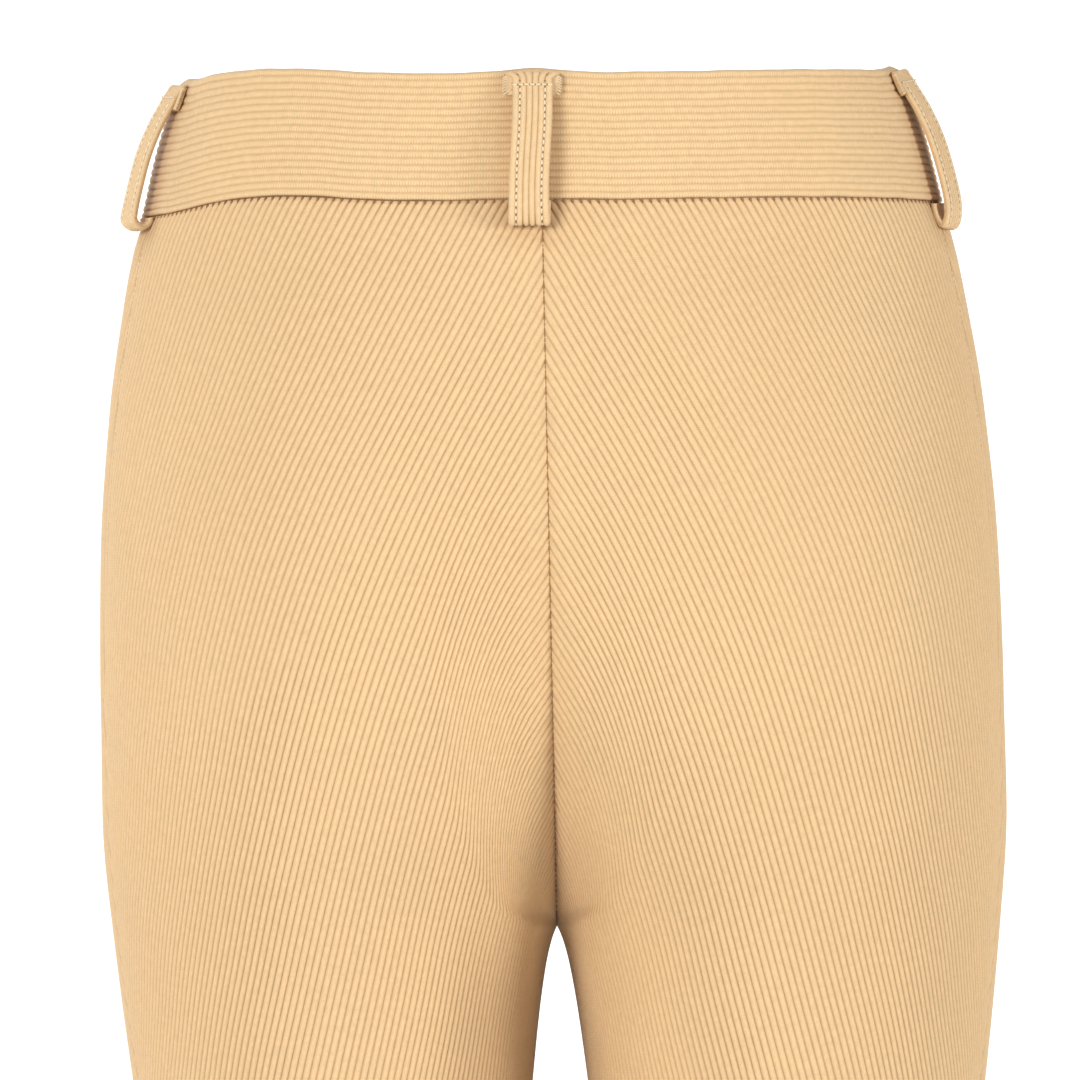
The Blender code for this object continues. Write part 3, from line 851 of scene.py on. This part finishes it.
def add_panel(name, side, run, nodes):
    rows = panel_rows()
    inner, outer = run.edges(rows)
    low_row, high_row = run.phase(rows, inner), run.phase(rows, outer)
    ribs = np.arange(math.floor(low_row.min()), math.ceil(high_row.max()) + 1)
    across = ACROSS_RIB if run.is_back else ACROSS_FRONT_RIB
    phases = (ribs[:, None] + np.array(across)[None, :]).ravel()
    inside = phases > low_row[:, None] + INSIDE_MARGIN
    inside &= phases < high_row[:, None] - INSIDE_MARGIN
    spots, seam_of, faces = cut_cells(inside, low_row, high_row, phases, rows)
    phase, height = spots[:, 0], spots[:, 1]
    s = np.empty(len(phase))
    for h in np.unique(height):
        on_row = height == h
        s[on_row] = np.interp(phase[on_row], run.phase(np.full_like(S_GRID, h), S_GRID), S_GRID)
    inner_s, outer_s = run.edges(height)
    s = np.where(seam_of < 0, inner_s, np.where(seam_of > 0, outer_s, s))
    angle = run.angle(height, s)
    face_points, normals = surface_point(height, angle), normal_at(height, angle)
    at_middle = (seam_of < 0) & (height > CROTCH)
    at_inseam = (seam_of < 0) & (height <= CROTCH)
    directions = normals.copy()
    directions[at_middle] = directions[at_middle] * (0, 1, 1) + (0, run.sign * 0.01, 0)
    directions[at_inseam] = directions[at_inseam] * (1, 0, 1) + (-0.01, 0, 0)
    directions = unit(directions)
    relief = panel_relief(run, height, s, phase)
    thickness = CLOTH + HEM_EXTRA * (1 - smooth_step(height - HEM, HEM_DEPTH - 0.001, HEM_DEPTH + 0.001))
    outside = face_points + directions * relief[:, None]
    plain = np.minimum(relief, 0.0) - thickness
    within = face_points + directions * plain[:, None]
    points = mirrored(np.concatenate([outside, within]), side)
    faces = two_layers(faces, len(outside))
    if (side > 0) != run.is_back:
        faces = [face[::-1] for face in faces]
    uv = np.stack([phase, -height / math.cos(math.atan(MEAN_SLOPE))], axis=1)
    shade = panel_shade(mirrored(outside, side), height, normals, THIGH_SHADOW[side])
    marks = {"shade": np.concatenate([shade, shade]),
             "flat": np.tile(1 - run.fullness(height, s), 2)}
    piece = add_piece(name, points, faces, panel_cloth, np.concatenate([uv, uv]), replaces=nodes, marks=marks)
    print(f"{name}: {len(ribs)} ribs, {len(faces)} faces")
    return piece


for side, hand in ((1, "left"), (-1, "right")):
    for face in ("back", "front"):
        nodes = [f"{face}_{hand}_{level}" for level in ("hip", "upper_thigh", "thigh", "calf")]
        add_panel(f"{face}_panel_{hand}", side, RUNS[f"{face}_{hand}"], nodes)


# %% [markdown]
# ## Waistband
#
# The band is a strip folded double, its fold at the top edge, with the ribs lying level. Its
# outline across, eighteen ribs outside and the plain doubled face inside, is swept round the
# waist. It starts under the lap at the front, and its outer end climbs over its inner end. The
# top edge is drawn up a little where each loop is sewn over it, and the whole band waves gently.

# %% Waistband
BAND_STEPS = 300
BAND_ACROSS = (0.0, 0.1, 0.28, 0.5, 0.72, 0.9)     # places across each outer rib
BAND_RIB_HEIGHT = 0.00055
BAND_FOLD = 0.0012                                # height over which the edges round off
LAP_END = -0.004
UNDERLAP_END = 0.027
LAP_RISE = (0.029, 0.048)
LAP_LIFT = BAND_WALL + 0.0008
DRAWN_UP = 0.0013            # how far a loop draws the band's top edge up
DRAWN_REACH = 0.012          # to each side
WAIST_RADIUS = 0.13          # about, to turn that reach into an angle
BESIDE_SHADE = 0.34          # how dark beside each loop, and behind the side loops
BEHIND_SHADE = 0.92


def band_shade(points, height, angle, crest):
    """Soft shadow beside each loop. Behind the side loops it is deep, and ends on every rib."""
    shade = np.zeros(angle.shape)
    for name, (at_top, at_bottom) in LOOP_ANGLES.items():
        at = loop_angle(height, at_top, at_bottom)
        distance = np.linalg.norm((points - band_point(height, at, BAND_PROUD))[..., :2], axis=-1)
        shade = np.maximum(shade, BESIDE_SHADE * beside_loop(distance))
        if "front" not in name and "back" not in name:
            from_side = np.arcsin(np.clip(np.sin(angle), -1, 1))
            same_half = np.cos(angle) * np.cos(at) > 0
            edge = SIDE_SEAM + math.radians(1.9) - math.radians(2.6) * crest
            deep = smooth_step(edge - from_side, 0.0, math.radians(0.8))
            deep = deep * smooth_step(from_side, 0.0, math.radians(5.0)) * same_half
            shade = np.maximum(shade, BEHIND_SHADE * deep)
    return shade


def band_outline():
    """(ribs from the top, place from the middle of the wall) round the band's section."""
    outer = [rib + f for rib in range(BAND_RIBS) for f in BAND_ACROSS] + [BAND_RIBS]
    inner = [BAND_RIBS - 0.12] + [half / 2 for half in range(2 * BAND_RIBS - 1, 0, -1)] + [0.12]
    spots = []
    for u, is_outer in [(u, True) for u in outer] + [(u, False) for u in inner]:
        height = BAND_TOP - u * (BAND_TOP - BAND_BOTTOM) / BAND_RIBS
        into_fold = max(0.0, (abs(height) - (BAND_TOP - BAND_FOLD)) / BAND_FOLD)
        share = math.sqrt(max(0.0, 1 - into_fold**2))
        crest = float(rib_profile(np.array(u)))
        if is_outer:
            out = (BAND_WALL / 2 - 0.00015 + BAND_RIB_HEIGHT * crest) * share
        else:
            out = -(BAND_WALL / 2 - 0.0003 + 0.0003 * crest) * share
        spots.append((u, height, out))
    return np.array(spots)


def lap_angle(x):
    return -math.pi / 2 + math.asin(x / float(value_at(SIDE, np.array(0.0))))


def add_band():
    start, turn = lap_angle(UNDERLAP_END), -2 * math.pi
    climb, flat, end = (turn + lap_angle(x) for x in (LAP_RISE[1], LAP_RISE[0], LAP_END))
    places = np.concatenate([np.linspace(start, climb, BAND_STEPS, endpoint=False),
                             np.linspace(climb, flat, 16, endpoint=False), np.linspace(flat, end, 16)])
    outline = band_outline()
    angle = places[:, None] + 0 * outline[None, :, 0]
    spot = outline[None, :, :] + 0 * places[:, None, None]
    x = float(value_at(SIDE, np.array(0.0))) * np.cos(angle)
    risen = np.where(angle <= climb, 1 - smooth_step(x, *LAP_RISE), 0.0)
    share = (spot[..., 1] - BAND_BOTTOM) / (BAND_TOP - BAND_BOTTOM)
    wave = 0.00035 * slow_wave(angle * 7.0, share * 2.5, 3.0)
    drawn = sum(np.exp(-(1 - np.cos(angle - at_top)) * 2 * WAIST_RADIUS**2 / DRAWN_REACH**2)
                for at_top, _ in LOOP_ANGLES.values())
    height = spot[..., 1] + DRAWN_UP * drawn * share**3 + 0.00025 * slow_wave(angle * 16.0, share, 5.0)
    middle = BAND_PROUD - BAND_WALL / 2
    points = band_point(height, angle, middle + spot[..., 2] + LAP_LIFT * risen + wave)
    run = length_along(points[:, 0])
    faces = swept_faces(*points.shape[:2])
    uv = np.stack([spot[..., 0], run[:, None] + 0 * spot[..., 0]], axis=-1).reshape(-1, 2)
    shade = band_shade(points, spot[..., 1], angle, rib_profile(spot[..., 0]))
    piece = add_piece("waistband_cloth", points.reshape(-1, 3), faces, band_cloth, uv,
                      replaces=["waistband"], marks={"shade": shade.ravel()})
    print("waistband:", round(float(run[-1]), 3), "m long,", len(faces), "faces")


add_band()

# %% [markdown]
# ## Stitches
#
# A stitch is a short, plump bead of thread pulled into the cloth at both ends. One is modelled
# from a small sphere, and each line of stitching is a row of its copies, laid along the seam
# and half sunk in the cloth.

# %% Stitches
deselect_all()
bpy.ops.mesh.primitive_uv_sphere_add(segments=7, ring_count=5, radius=1.0, location=(0, 0, 0))
bead = bpy.context.object
BEAD_POINTS = np.array([tuple(vertex.co) for vertex in bead.data.vertices])
BEAD_POINTS[:, 2] = np.sign(BEAD_POINTS[:, 2]) * np.abs(BEAD_POINTS[:, 2]) ** 0.75
BEAD_FACES = [list(face.vertices) for face in bead.data.polygons]
bpy.data.objects.remove(bead)


def add_stitches(name, places, along, up, length, width, material):
    """Beads of thread at these places. along is each one's direction, and up faces away from the cloth."""
    places, along, up = (np.asarray(values, float) for values in (places, along, up))
    along, up = unit(along), unit(up)
    across = unit(np.cross(up, along))
    up = np.cross(along, across)
    local = BEAD_POINTS
    points = (places[:, None] + local[None, :, 0, None] * across[:, None] * width / 2
              + local[None, :, 1, None] * up[:, None] * width / 2
              + local[None, :, 2, None] * along[:, None] * length / 2)
    count = len(local)
    faces = [[corner + n * count for corner in face] for n in range(len(places)) for face in BEAD_FACES]
    return add_piece(name, points.reshape(-1, 3), faces, material)


def directions(places):
    """Each place's direction along its line."""
    return np.gradient(places, axis=0)


# %% [markdown]
# ## Belt loops
#
# A loop is a strip of the same cloth folded to 15 mm, with a row of stitches near each edge. It
# comes out of the waist seam, turns up over the band, and is folded under at the top, where one
# row of stitches holds it. The folded end is wider than the strip and shows as two small ears
# bound in thread. The strip's outline is swept along a smooth path with its ribs outside.

# %% Belt loops
LOOP_WALL = 0.0021
LOOP_EDGES = np.array((0.0, 2.9, 5.35, 7.6, 9.85, 12.3, 15.2)) / 1000 - LOOP_WIDTH / 2
LOOP_ACROSS = (0.0, 0.1, 0.28, 0.5, 0.72, 0.9)
LOOP_RIB_HEIGHT = 0.00060
LOOP_PATH = np.array((
    (0.0014, BAND_BOTTOM - 0.0008), (0.0016, BAND_BOTTOM - 0.0055),
    (0.0034, BAND_BOTTOM - 0.0088), (0.0060, BAND_BOTTOM - 0.0080),
    (0.0090, BAND_BOTTOM - 0.0030), (0.0103, BAND_BOTTOM + 0.0050),
    (0.0102, BAND_TOP - 0.0270), (0.0087, BAND_TOP - 0.0150), (0.0063, BAND_TOP - 0.0060),
    (0.0050, BAND_TOP - 0.0024), (0.0039, BAND_TOP - 0.0012), (0.0029, BAND_TOP - 0.0022),
    (0.0029, BAND_TOP - 0.0090),
))
EAR_WIDTH = 0.0212
EAR_REACH = (0.0078, 0.0112)              # the ears narrow to the strip over this distance from the end
EAR_TIP = 0.0018                          # and are rounded at the end over this one
BOTTOM_AT = 0.010                         # how far along the strip its lowest point is
STITCH_PITCH = 0.0026
TOP_ROW = np.arange(-0.0066, 0.0067, 0.0022)          # places of the level row's stitches
TOP_ROW_AT = 0.0140                       # its distance from the strip's end
# how far each side loop turns its face to the back, how much closer it lies, and how much of
# the full length hangs below the band
LOOP_TURN = {"belt_loop_left": (math.radians(-4.0), 0.0014, 0.45),
             "belt_loop_right": (math.radians(7.0), 0.0024, 1.0)}


def smooth_path(points, steps):
    """A smooth line through the points, steps to each stretch."""
    padded = np.concatenate([2 * points[:1] - points[1:2], points, 2 * points[-1:] - points[-2:-1]])
    line = []
    for k in range(1, len(padded) - 2):
        a, b, c, d = padded[k - 1:k + 3]
        for t in np.arange(steps) / steps:
            line.append(0.5 * (2 * b + (c - a) * t + (2 * a - 5 * b + 4 * c - d) * t**2
                               + (3 * b - a - 3 * c + d) * t**3))
    return np.array(line + [points[-1]])


def loop_outline():
    """(place across, height above the middle of the strip, ribs) round the strip's section."""
    spots = []
    for rib in range(len(LOOP_EDGES) - 1):
        for f in LOOP_ACROSS:
            spots.append((LOOP_EDGES[rib] + f * (LOOP_EDGES[rib + 1] - LOOP_EDGES[rib]), rib + f))
    spots.append((LOOP_EDGES[-1], len(LOOP_EDGES) - 1.0))
    outline = []
    for place, u in spots:
        edge = max(0.0, (abs(place) - (LOOP_WIDTH / 2 - 0.0009)) / 0.0009)
        share = math.sqrt(max(0.0, 1 - edge**2))
        crest = float(rib_profile(np.array(u)))
        outline.append((place, (LOOP_WALL / 2 - LOOP_RIB_HEIGHT * (1 - crest)) * share, u))
    for place in (0.45, 0.2, 0.0, -0.2, -0.45):
        outline.append((place * LOOP_WIDTH, -LOOP_WALL / 2, 3 + place * 6))
    return np.array(outline)


def add_loop(name, at_top, at_bottom):
    line = smooth_path(LOOP_PATH, 7)
    turn, closer, hang = LOOP_TURN.get(name, (0.0, 0.0, 1.0))
    line[:, 1] += (hang - 1) * np.minimum(line[:, 1] - BAND_BOTTOM, 0.0)
    bowed = np.sin(math.pi * np.linspace(0, 1, len(line))) ** 0.7
    path = band_point(line[:, 1], loop_angle(line[:, 1], at_top, at_bottom), line[:, 0] - closer * bowed)
    at = np.full(1, (at_top + at_bottom) / 2)
    outward = band_point(np.zeros(1), at, np.full(1, 0.01)) - band_point(np.zeros(1), at, np.zeros(1))
    level = unit(np.cross(outward, np.array([[0.0, 0.0, 1.0]])))
    along = unit(directions(path))
    face = unit(np.cross(along, level))
    turned = (turn * bowed)[:, None]
    across = level * np.cos(turned) - face * np.sin(turned)
    up = unit(np.cross(along, across))
    run = length_along(path)
    from_end = run[-1] - run
    ear = (1 - smooth_step(from_end, *EAR_REACH)) * (0.55 + 0.45 * smooth_step(from_end, 0.0, EAR_TIP))
    wide = 1 + (EAR_WIDTH / LOOP_WIDTH - 1) * ear
    wide = wide + 0.05 * np.exp(-((run - BOTTOM_AT) / 0.006) ** 2)
    outline = loop_outline()
    sway = 0.0003 * np.sin(run * 120 + at * 3)
    place = outline[None, :, 0] * wide[:, None] + sway[:, None]
    comb = 0.00035 * np.exp(-((run - BOTTOM_AT) / 0.004) ** 2)[:, None] * rib_profile(outline[None, :, 2])
    raised = outline[None, :, 1] + np.where(outline[None, :, 1] > 0, comb, 0.0)
    points = path[:, None] + across[:, None] * place[..., None] + up[:, None] * raised[..., None]
    faces = swept_faces(*points.shape[:2])
    uv = np.stack([outline[None, :, 2] + 0 * place, run[:, None] + 0 * place], axis=-1).reshape(-1, 2)
    strip = add_piece(f"{name}_strip", points.reshape(-1, 3), faces, loop_cloth, uv,
                      replaces=[name])

    def on_strip(distance, place, lift):
        """A point on the strip, and its directions along, away from the cloth and across."""
        spot, way, face, wide_way = (
            np.stack([np.interp(distance, run, table[:, c]) for c in range(3)], axis=-1)
            for table in (path, along, up, across))
        side = place * np.interp(distance, run, wide) + np.interp(distance, run, sway)
        return spot + wide_way * side[:, None] + face * lift, way, face, wide_way

    lines = []
    for edge in (1, 5):
        distance = np.arange(2 * STITCH_PITCH, run[-1] - TOP_ROW_AT - 0.001, STITCH_PITCH)
        place = np.full(len(distance), LOOP_EDGES[edge]) + 0.00010 * np.sin(distance * 2100)
        lines.append(on_strip(distance, place, LOOP_WALL / 2 - 0.00012)[:3])
    at_row = np.full(len(TOP_ROW), run[-1] - TOP_ROW_AT)
    spot, way, face, wide_way = on_strip(at_row, TOP_ROW, LOOP_WALL / 2 + 0.00012)
    lines.append((spot, wide_way, face))
    places, ways, faces_up = (np.concatenate([line[k] for line in lines]) for k in range(3))
    stitches = add_stitches(f"{name}_stitches", places, ways, faces_up, 0.0019, 0.00085, thread)
    # dark beads of painted shade in the needle holes beside the level row
    spot, way, face, wide_way = on_strip(at_row[:-1], TOP_ROW[:-1] + 0.0011, LOOP_WALL / 2 - 0.00005)
    holes = add_stitches(f"{name}_needle_hole_shadows", spot, wide_way, face, 0.0008, 0.0008, painted_hollow_shade)
    distance = run[-1] - np.arange(0.0009, 0.0082, 0.00105)
    spots, ways, outs = [], [], []
    for side in (-1, 1):
        spot, way, face, wide_way = on_strip(distance, np.full(len(distance), side * LOOP_WIDTH * 0.455),
                                             -LOOP_WALL / 2 + 0.0003)
        spots.append(spot)
        ways.append(wide_way * side + way * 0.55)
        outs.append(-face)
    overlock = add_stitches(f"{name}_overlock", np.concatenate(spots), np.concatenate(ways),
                            np.concatenate(outs), 0.0040, 0.00095, edge_thread)
    print(name, round(float(run[-1]) * 1000), "mm of strip,", len(places), "stitches")


loop_cloth = knit_material("loop_cloth", LOOP_TAN, 0.62, spots=(1.0, 5.0, STITCH_PITCH))
for loop_name, (at_top, at_bottom) in LOOP_ANGLES.items():
    add_loop(loop_name, at_top, at_bottom)

# %% [markdown]
# ## Seam and hem stitching
#
# The side seams show short stitches of a darker thread where the edges pull apart a little, and
# the hems are held by two parallel rows.

# %% Side seams and hems
SEAM_PITCH = 0.0023          # from one side seam stitch to the next
MIDDLE_THREAD_DEPTH = 0.00118
seam_heights = np.arange(BAND_BOTTOM - 0.006, HEM + 0.024, -SEAM_PITCH)


def add_seam_stitches(name, side):
    height = seam_heights
    angle = np.full_like(height, SIDE_SEAM)
    spot = surface_point(height, angle, -0.00065)
    ahead = surface_point(height - 0.001, angle, -0.00065) - spot
    return add_stitches(name, mirrored(spot, side), mirrored(ahead, side),
                        mirrored(normal_at(height, angle), side), 0.0016, 0.00070, seam_thread)


def add_hem_stitches(name, side):
    places, ways, ups = [], [], []
    for up_hem in HEM_ROWS:
        angle = np.linspace(-math.pi, math.pi, 90, endpoint=False)
        height = np.full_like(angle, HEM + up_hem)
        spot = surface_point(height, angle, 0.00010)
        places.append(spot)
        ways.append(surface_point(height, angle + 0.01, 0.0001) - spot)
        ups.append(normal_at(height, angle))
    places, ways, ups = (mirrored(np.concatenate(values), side) for values in (places, ways, ups))
    return add_stitches(name, places, ways, ups, 0.0021, 0.00060, thread)


def add_waist_furrow_shadows(name, side, run):
    """A small dark bead of painted shadow in every furrow, where the panel goes under the band."""
    height = BAND_BOTTOM - 0.0009
    inner, outer = run.edges(np.array([height]))
    ends = run.phase(np.full(2, height), np.concatenate([inner, outer]))
    furrows = np.arange(math.ceil(ends[0] + 0.3), math.floor(ends[1] - 0.3) + 1)
    s = np.interp(furrows, run.phase(np.full_like(S_GRID, height), S_GRID), S_GRID)
    heights = np.full(len(s), height)
    angle = run.angle(heights, s)
    spot = surface_point(heights, angle, -0.00045)
    down = surface_point(heights - 0.001, angle, -0.00075) - spot
    return add_stitches(name, mirrored(spot, side), mirrored(down, side),
                        mirrored(normal_at(heights, angle), side), 0.0019, 0.0010, painted_hollow_shade)


def add_middle_seam(name, is_back):
    """The thread down in the middle seam, coloured dark as painted shade of the seam's valley, so that it
    shows as a fine dark line.
    """
    height = np.arange(BAND_BOTTOM - 0.0015, CROTCH + 0.001, -0.0020)
    spot = surface_point(height, seam_angle(height, is_back), 0.0) * (0, 1, 1)
    outward = np.array([0.0, 1.0 if is_back else -1.0, 0.0])
    spot = spot - outward * MIDDLE_THREAD_DEPTH
    outward = np.tile(outward, (len(spot), 1))
    return add_stitches(name, spot, directions(spot), outward, 0.0021, 0.0007, middle_thread_painted_shade)


# the middle seam's thread, darkened with painted shade of the seam's valley
middle_thread_painted_shade = thread_material("middle_thread_painted_shade", (0.38, 0.20, 0.06, 1.0))
add_middle_seam("back_middle_seam_thread", True)
add_middle_seam("front_middle_seam_thread", False)
for side, hand in ((1, "left"), (-1, "right")):
    add_seam_stitches(f"side_seam_stitches_{hand}", side)
    add_hem_stitches(f"hem_stitches_{hand}", side)
    for face in ("back", "front"):
        add_waist_furrow_shadows(f"waist_seam_hollows_{face}_{hand}", side, RUNS[f"{face}_{hand}"])
print("side seam stitches:", len(seam_heights), "each")

# %% [markdown]
# ## Fly
#
# The closing is covered by a placket on the left front panel, cut from the same cloth with its
# ribs upright, curved in at its lower end and held by one row of stitches that follows the
# curve. It is made like the panels, from a grid along the ribs that is cut at its edge.

# %% Fly
FLY_WIDTH = 0.034
FLY_BOTTOM = -0.185
FLY_CURVE = 0.040
FLY_WALL = 0.0012
FLY_LIFT = 0.0006
FLY_BLUNT = 0.12
FLY_PITCH = 0.0026
FLY_START = 0.06             # the placket starts this share of a rib beside the middle seam
FLY_ROUND = 0.0007           # its edge is rounded over this width
FLY_ROW = 0.0286             # the row of stitches is this far from the centre front
ROW_CURVE = FLY_CURVE - (FLY_WIDTH - FLY_ROW)
THREAD_LIFT = 0.00005


def fly_edge(height, width, curve):
    """x of a line down the fly that turns in to the centre at the bottom."""
    into_curve = np.maximum(0.0, (FLY_BOTTOM + curve - height) / curve)
    return width * np.maximum(np.sqrt(np.maximum(1 - into_curve**2, 0.0)), FLY_BLUNT)


def add_fly():
    rows = BAND_BOTTOM - 0.0006 + (FLY_BOTTOM - BAND_BOTTOM) * np.sin(np.linspace(0, math.pi / 2, 46))
    high_row = fly_edge(rows, FLY_WIDTH, FLY_CURVE) / FLY_PITCH
    low_row = np.full_like(high_row, FLY_START)
    phases = np.add.outer(np.arange(math.ceil(high_row.max())), BAND_ACROSS).ravel()
    inside = phases > low_row[:, None] + INSIDE_MARGIN
    inside &= phases < high_row[:, None] - INSIDE_MARGIN
    spots, seam_of, faces = cut_cells(inside, low_row, high_row, phases, rows)
    phase, height = spots[:, 0], spots[:, 1]
    to_edge = np.minimum(phase - FLY_START, np.interp(-height, -rows, high_row) - phase) * FLY_PITCH
    angle = angle_at_x(height, phase * FLY_PITCH, False)
    rounded = np.sqrt(np.clip(1 - (1 - np.minimum(to_edge / FLY_ROUND, 1.0)) ** 2, 0, 1))
    to_row = np.abs(phase * FLY_PITCH - fly_edge(height, FLY_ROW, ROW_CURVE))
    sunk = 0.0004 * np.exp(-(to_row / 0.0009) ** 2)
    rise = FLY_WALL * rounded + 0.0006 * rib_profile(phase) * rounded - sunk
    outside = surface_point(height, angle, FLY_LIFT + rise)
    within = surface_point(height, angle, FLY_LIFT + 0 * rise)
    faces = two_layers(faces, len(outside))
    uv = np.stack([phase, -height], axis=1)
    points = np.concatenate([outside, within])
    piece = add_piece("fly_placket", points, faces, panel_cloth, np.concatenate([uv, uv]), replaces=["fly"])
    line_height = np.arange(BAND_BOTTOM - 0.003, FLY_BOTTOM + 0.007, -0.0005)
    line = angle_at_x(line_height, fly_edge(line_height, FLY_ROW, ROW_CURVE), False)
    on_top = FLY_LIFT + FLY_WALL + THREAD_LIFT
    track = surface_point(line_height, line, on_top)
    run = length_along(track)
    at = np.arange(0.001, run[-1], STITCH_PITCH)
    height_at, angle_at = np.interp(at, run, line_height), np.interp(at, run, line)
    spot = surface_point(height_at, angle_at, on_top)
    stitches = add_stitches("fly_stitches", spot, directions(spot), normal_at(height_at, angle_at),
                            0.0020, 0.00060, thread)
    print("fly:", len(faces), "faces")


add_fly()

# %% [markdown]
# ## Button and buttonhole
#
# The lapped end of the band closes with a four-hole horn button. It is turned from a cylinder:
# the face is inset and pushed in for the rim and the dish, its edges are bevelled, and four
# holes are bored. Thread crosses between the holes. The buttonhole's two ends show beside it,
# bound with close stitches.

# %% Button
BUTTON_X = 0.012
BUTTON_RADIUS = 0.0085
BUTTON_THICK = 0.0030
HOLE_PLACE = 0.0016
HOLE_RADIUS = 0.00085
BUTTON_LIFT = 0.0003         # between the band and the button
BUTTON_INSETS = ((0.0009, 0.0), (0.0007, -0.0006), (0.0016, -0.0004))     # inset and sink of the face
DISH = 0.0007                # depth of the dish that the thread lies in
BUTTONHOLE = (0.0112, 0.0014)             # half its length and half its height


def horn_material():
    tree = Tree("horn")
    place = tree.add("ShaderNodeTexCoord", output=3)
    clouds = tree.add("ShaderNodeTexNoise", {},
                      {"Vector": place, "Scale": 260.0, "Detail": 4.0, "Distortion": 1.2})
    colour = tree.add("ShaderNodeValToRGB", {"stops": (
        (0.25, (0.13, 0.065, 0.025, 1)), (0.5, (0.30, 0.165, 0.07, 1)), (0.75, (0.50, 0.31, 0.15, 1)))},
        {0: clouds})
    return tree.finish(colour, 0.22 + clouds * 0.16, clouds, 0.08, 0.0001, Coat_Weight=0.25)


def flat_frame():
    """The button's seat on the band's outer end: place, and its right, up and outward."""
    angle = np.array([-math.acos(BUTTON_X / float(value_at(SIDE, np.array(0.0))))])
    out = np.array([BAND_PROUD + LAP_LIFT + 0.0008])
    seat = band_point(np.zeros(1), angle, out)[0]
    upward = band_point(np.array([0.008]), angle, out)[0] - seat
    round_band = band_point(np.zeros(1), angle - 0.05, out)[0] - seat
    outward = unit(np.cross(upward, round_band))
    upward = unit(upward)
    return seat, np.cross(upward, outward), upward, outward


def seat_matrix(lift):
    seat, right, upward, outward = flat_frame()
    turned = Matrix((right, upward, outward)).transposed().to_4x4()
    return Matrix.Translation(Vector(seat + outward * lift)) @ turned


def add_button():
    deselect_all()
    bpy.ops.mesh.primitive_cylinder_add(vertices=48, radius=BUTTON_RADIUS, depth=BUTTON_THICK)
    button = bpy.context.object
    button.name = "horn_button"
    bpy.ops.object.mode_set(mode="EDIT")
    bpy.ops.mesh.select_all(action="DESELECT")
    bpy.ops.mesh.select_mode(type="FACE")
    form = bmesh.from_edit_mesh(button.data)
    form.faces.ensure_lookup_table()
    max(form.faces, key=lambda face: face.calc_center_median().z).select = True
    bmesh.update_edit_mesh(button.data)
    for inset, sink in BUTTON_INSETS:
        bpy.ops.mesh.inset(thickness=inset, depth=0)
        bpy.ops.transform.translate(value=(0, 0, sink))
    bpy.ops.object.mode_set(mode="OBJECT")
    for x in (-HOLE_PLACE, HOLE_PLACE):
        for y in (-HOLE_PLACE, HOLE_PLACE):
            deselect_all()
            bpy.ops.mesh.primitive_cylinder_add(vertices=16, radius=HOLE_RADIUS, depth=0.01,
                                                location=(x, y, 0))
            drill = bpy.context.object
            bored = button.modifiers.new("hole", "BOOLEAN")
            bored.object, bored.solver = drill, "EXACT"
            deselect_all()
            button.select_set(True)
            bpy.context.view_layer.objects.active = button
            bpy.ops.object.modifier_apply(modifier="hole")
            bpy.data.objects.remove(drill)
    soft = button.modifiers.new("soft_edges", "BEVEL")
    soft.width, soft.segments, soft.limit_method, soft.angle_limit = 0.00022, 2, "ANGLE", math.radians(35)
    bpy.ops.object.modifier_apply(modifier="soft_edges")
    bpy.ops.object.shade_smooth_by_angle(angle=math.radians(40))
    button.data.transform(seat_matrix(BUTTON_THICK / 2 + BUTTON_LIFT))
    button.data.materials.clear()
    button.data.materials.append(horn_material())
    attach(button, "root")
    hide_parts("waist_button")
    print("button:", len(button.data.polygons), "faces")


add_button()

# %% Thread through the button, and the buttonhole
def on_seat(spots, lift):
    seat, right, upward, outward = flat_frame()
    spots = np.array(spots, float)
    return seat + spots[:, :1] * right + spots[:, 1:] * upward + outward * lift


def add_button_threads():
    _, _, upward, outward = flat_frame()
    dish = BUTTON_THICK + BUTTON_LIFT - DISH
    spots, ways = [], []
    for x in (-HOLE_PLACE, HOLE_PLACE):
        for shift in (-0.00030, 0.0, 0.00030):
            spots.append((x + shift, 0.0))
            ways.append(upward)
    places = on_seat(spots, dish)
    add_stitches("button_thread", places, ways, [outward] * len(places), 2 * HOLE_PLACE + 0.0014,
                 0.00045, thread)
    turn = np.arange(72) * (2 * math.pi / 72)
    half_length, half_height = BUTTONHOLE
    ring = np.stack([half_length * np.sign(np.cos(turn)) * np.abs(np.cos(turn)) ** 0.45,
                     half_height * np.sin(turn)], axis=1)
    places = on_seat(ring, 0.00005)
    middle = np.stack([np.clip(ring[:, 0], -0.0098, 0.0098), 0 * turn], axis=1)
    add_stitches("buttonhole_stitches", places, places - on_seat(middle, 0.0) + 1e-6, [outward] * len(places),
                 0.0016, 0.00085, thread)
    slit = on_seat([(-half_length + 0.0004, 0.0), (half_length - 0.0004, 0.0)], 0.0)
    add_stitches("buttonhole_slit", [slit.mean(axis=0)], [slit[1] - slit[0]], [outward],
                 2 * half_length - 0.0008, 0.0008, slit_dark)


slit_dark = flat_material("slit_shadow", (0.10, 0.055, 0.025), 0.9)
add_button_threads()
print("buttonhole:", round(2000 * BUTTONHOLE[0]), "mm")
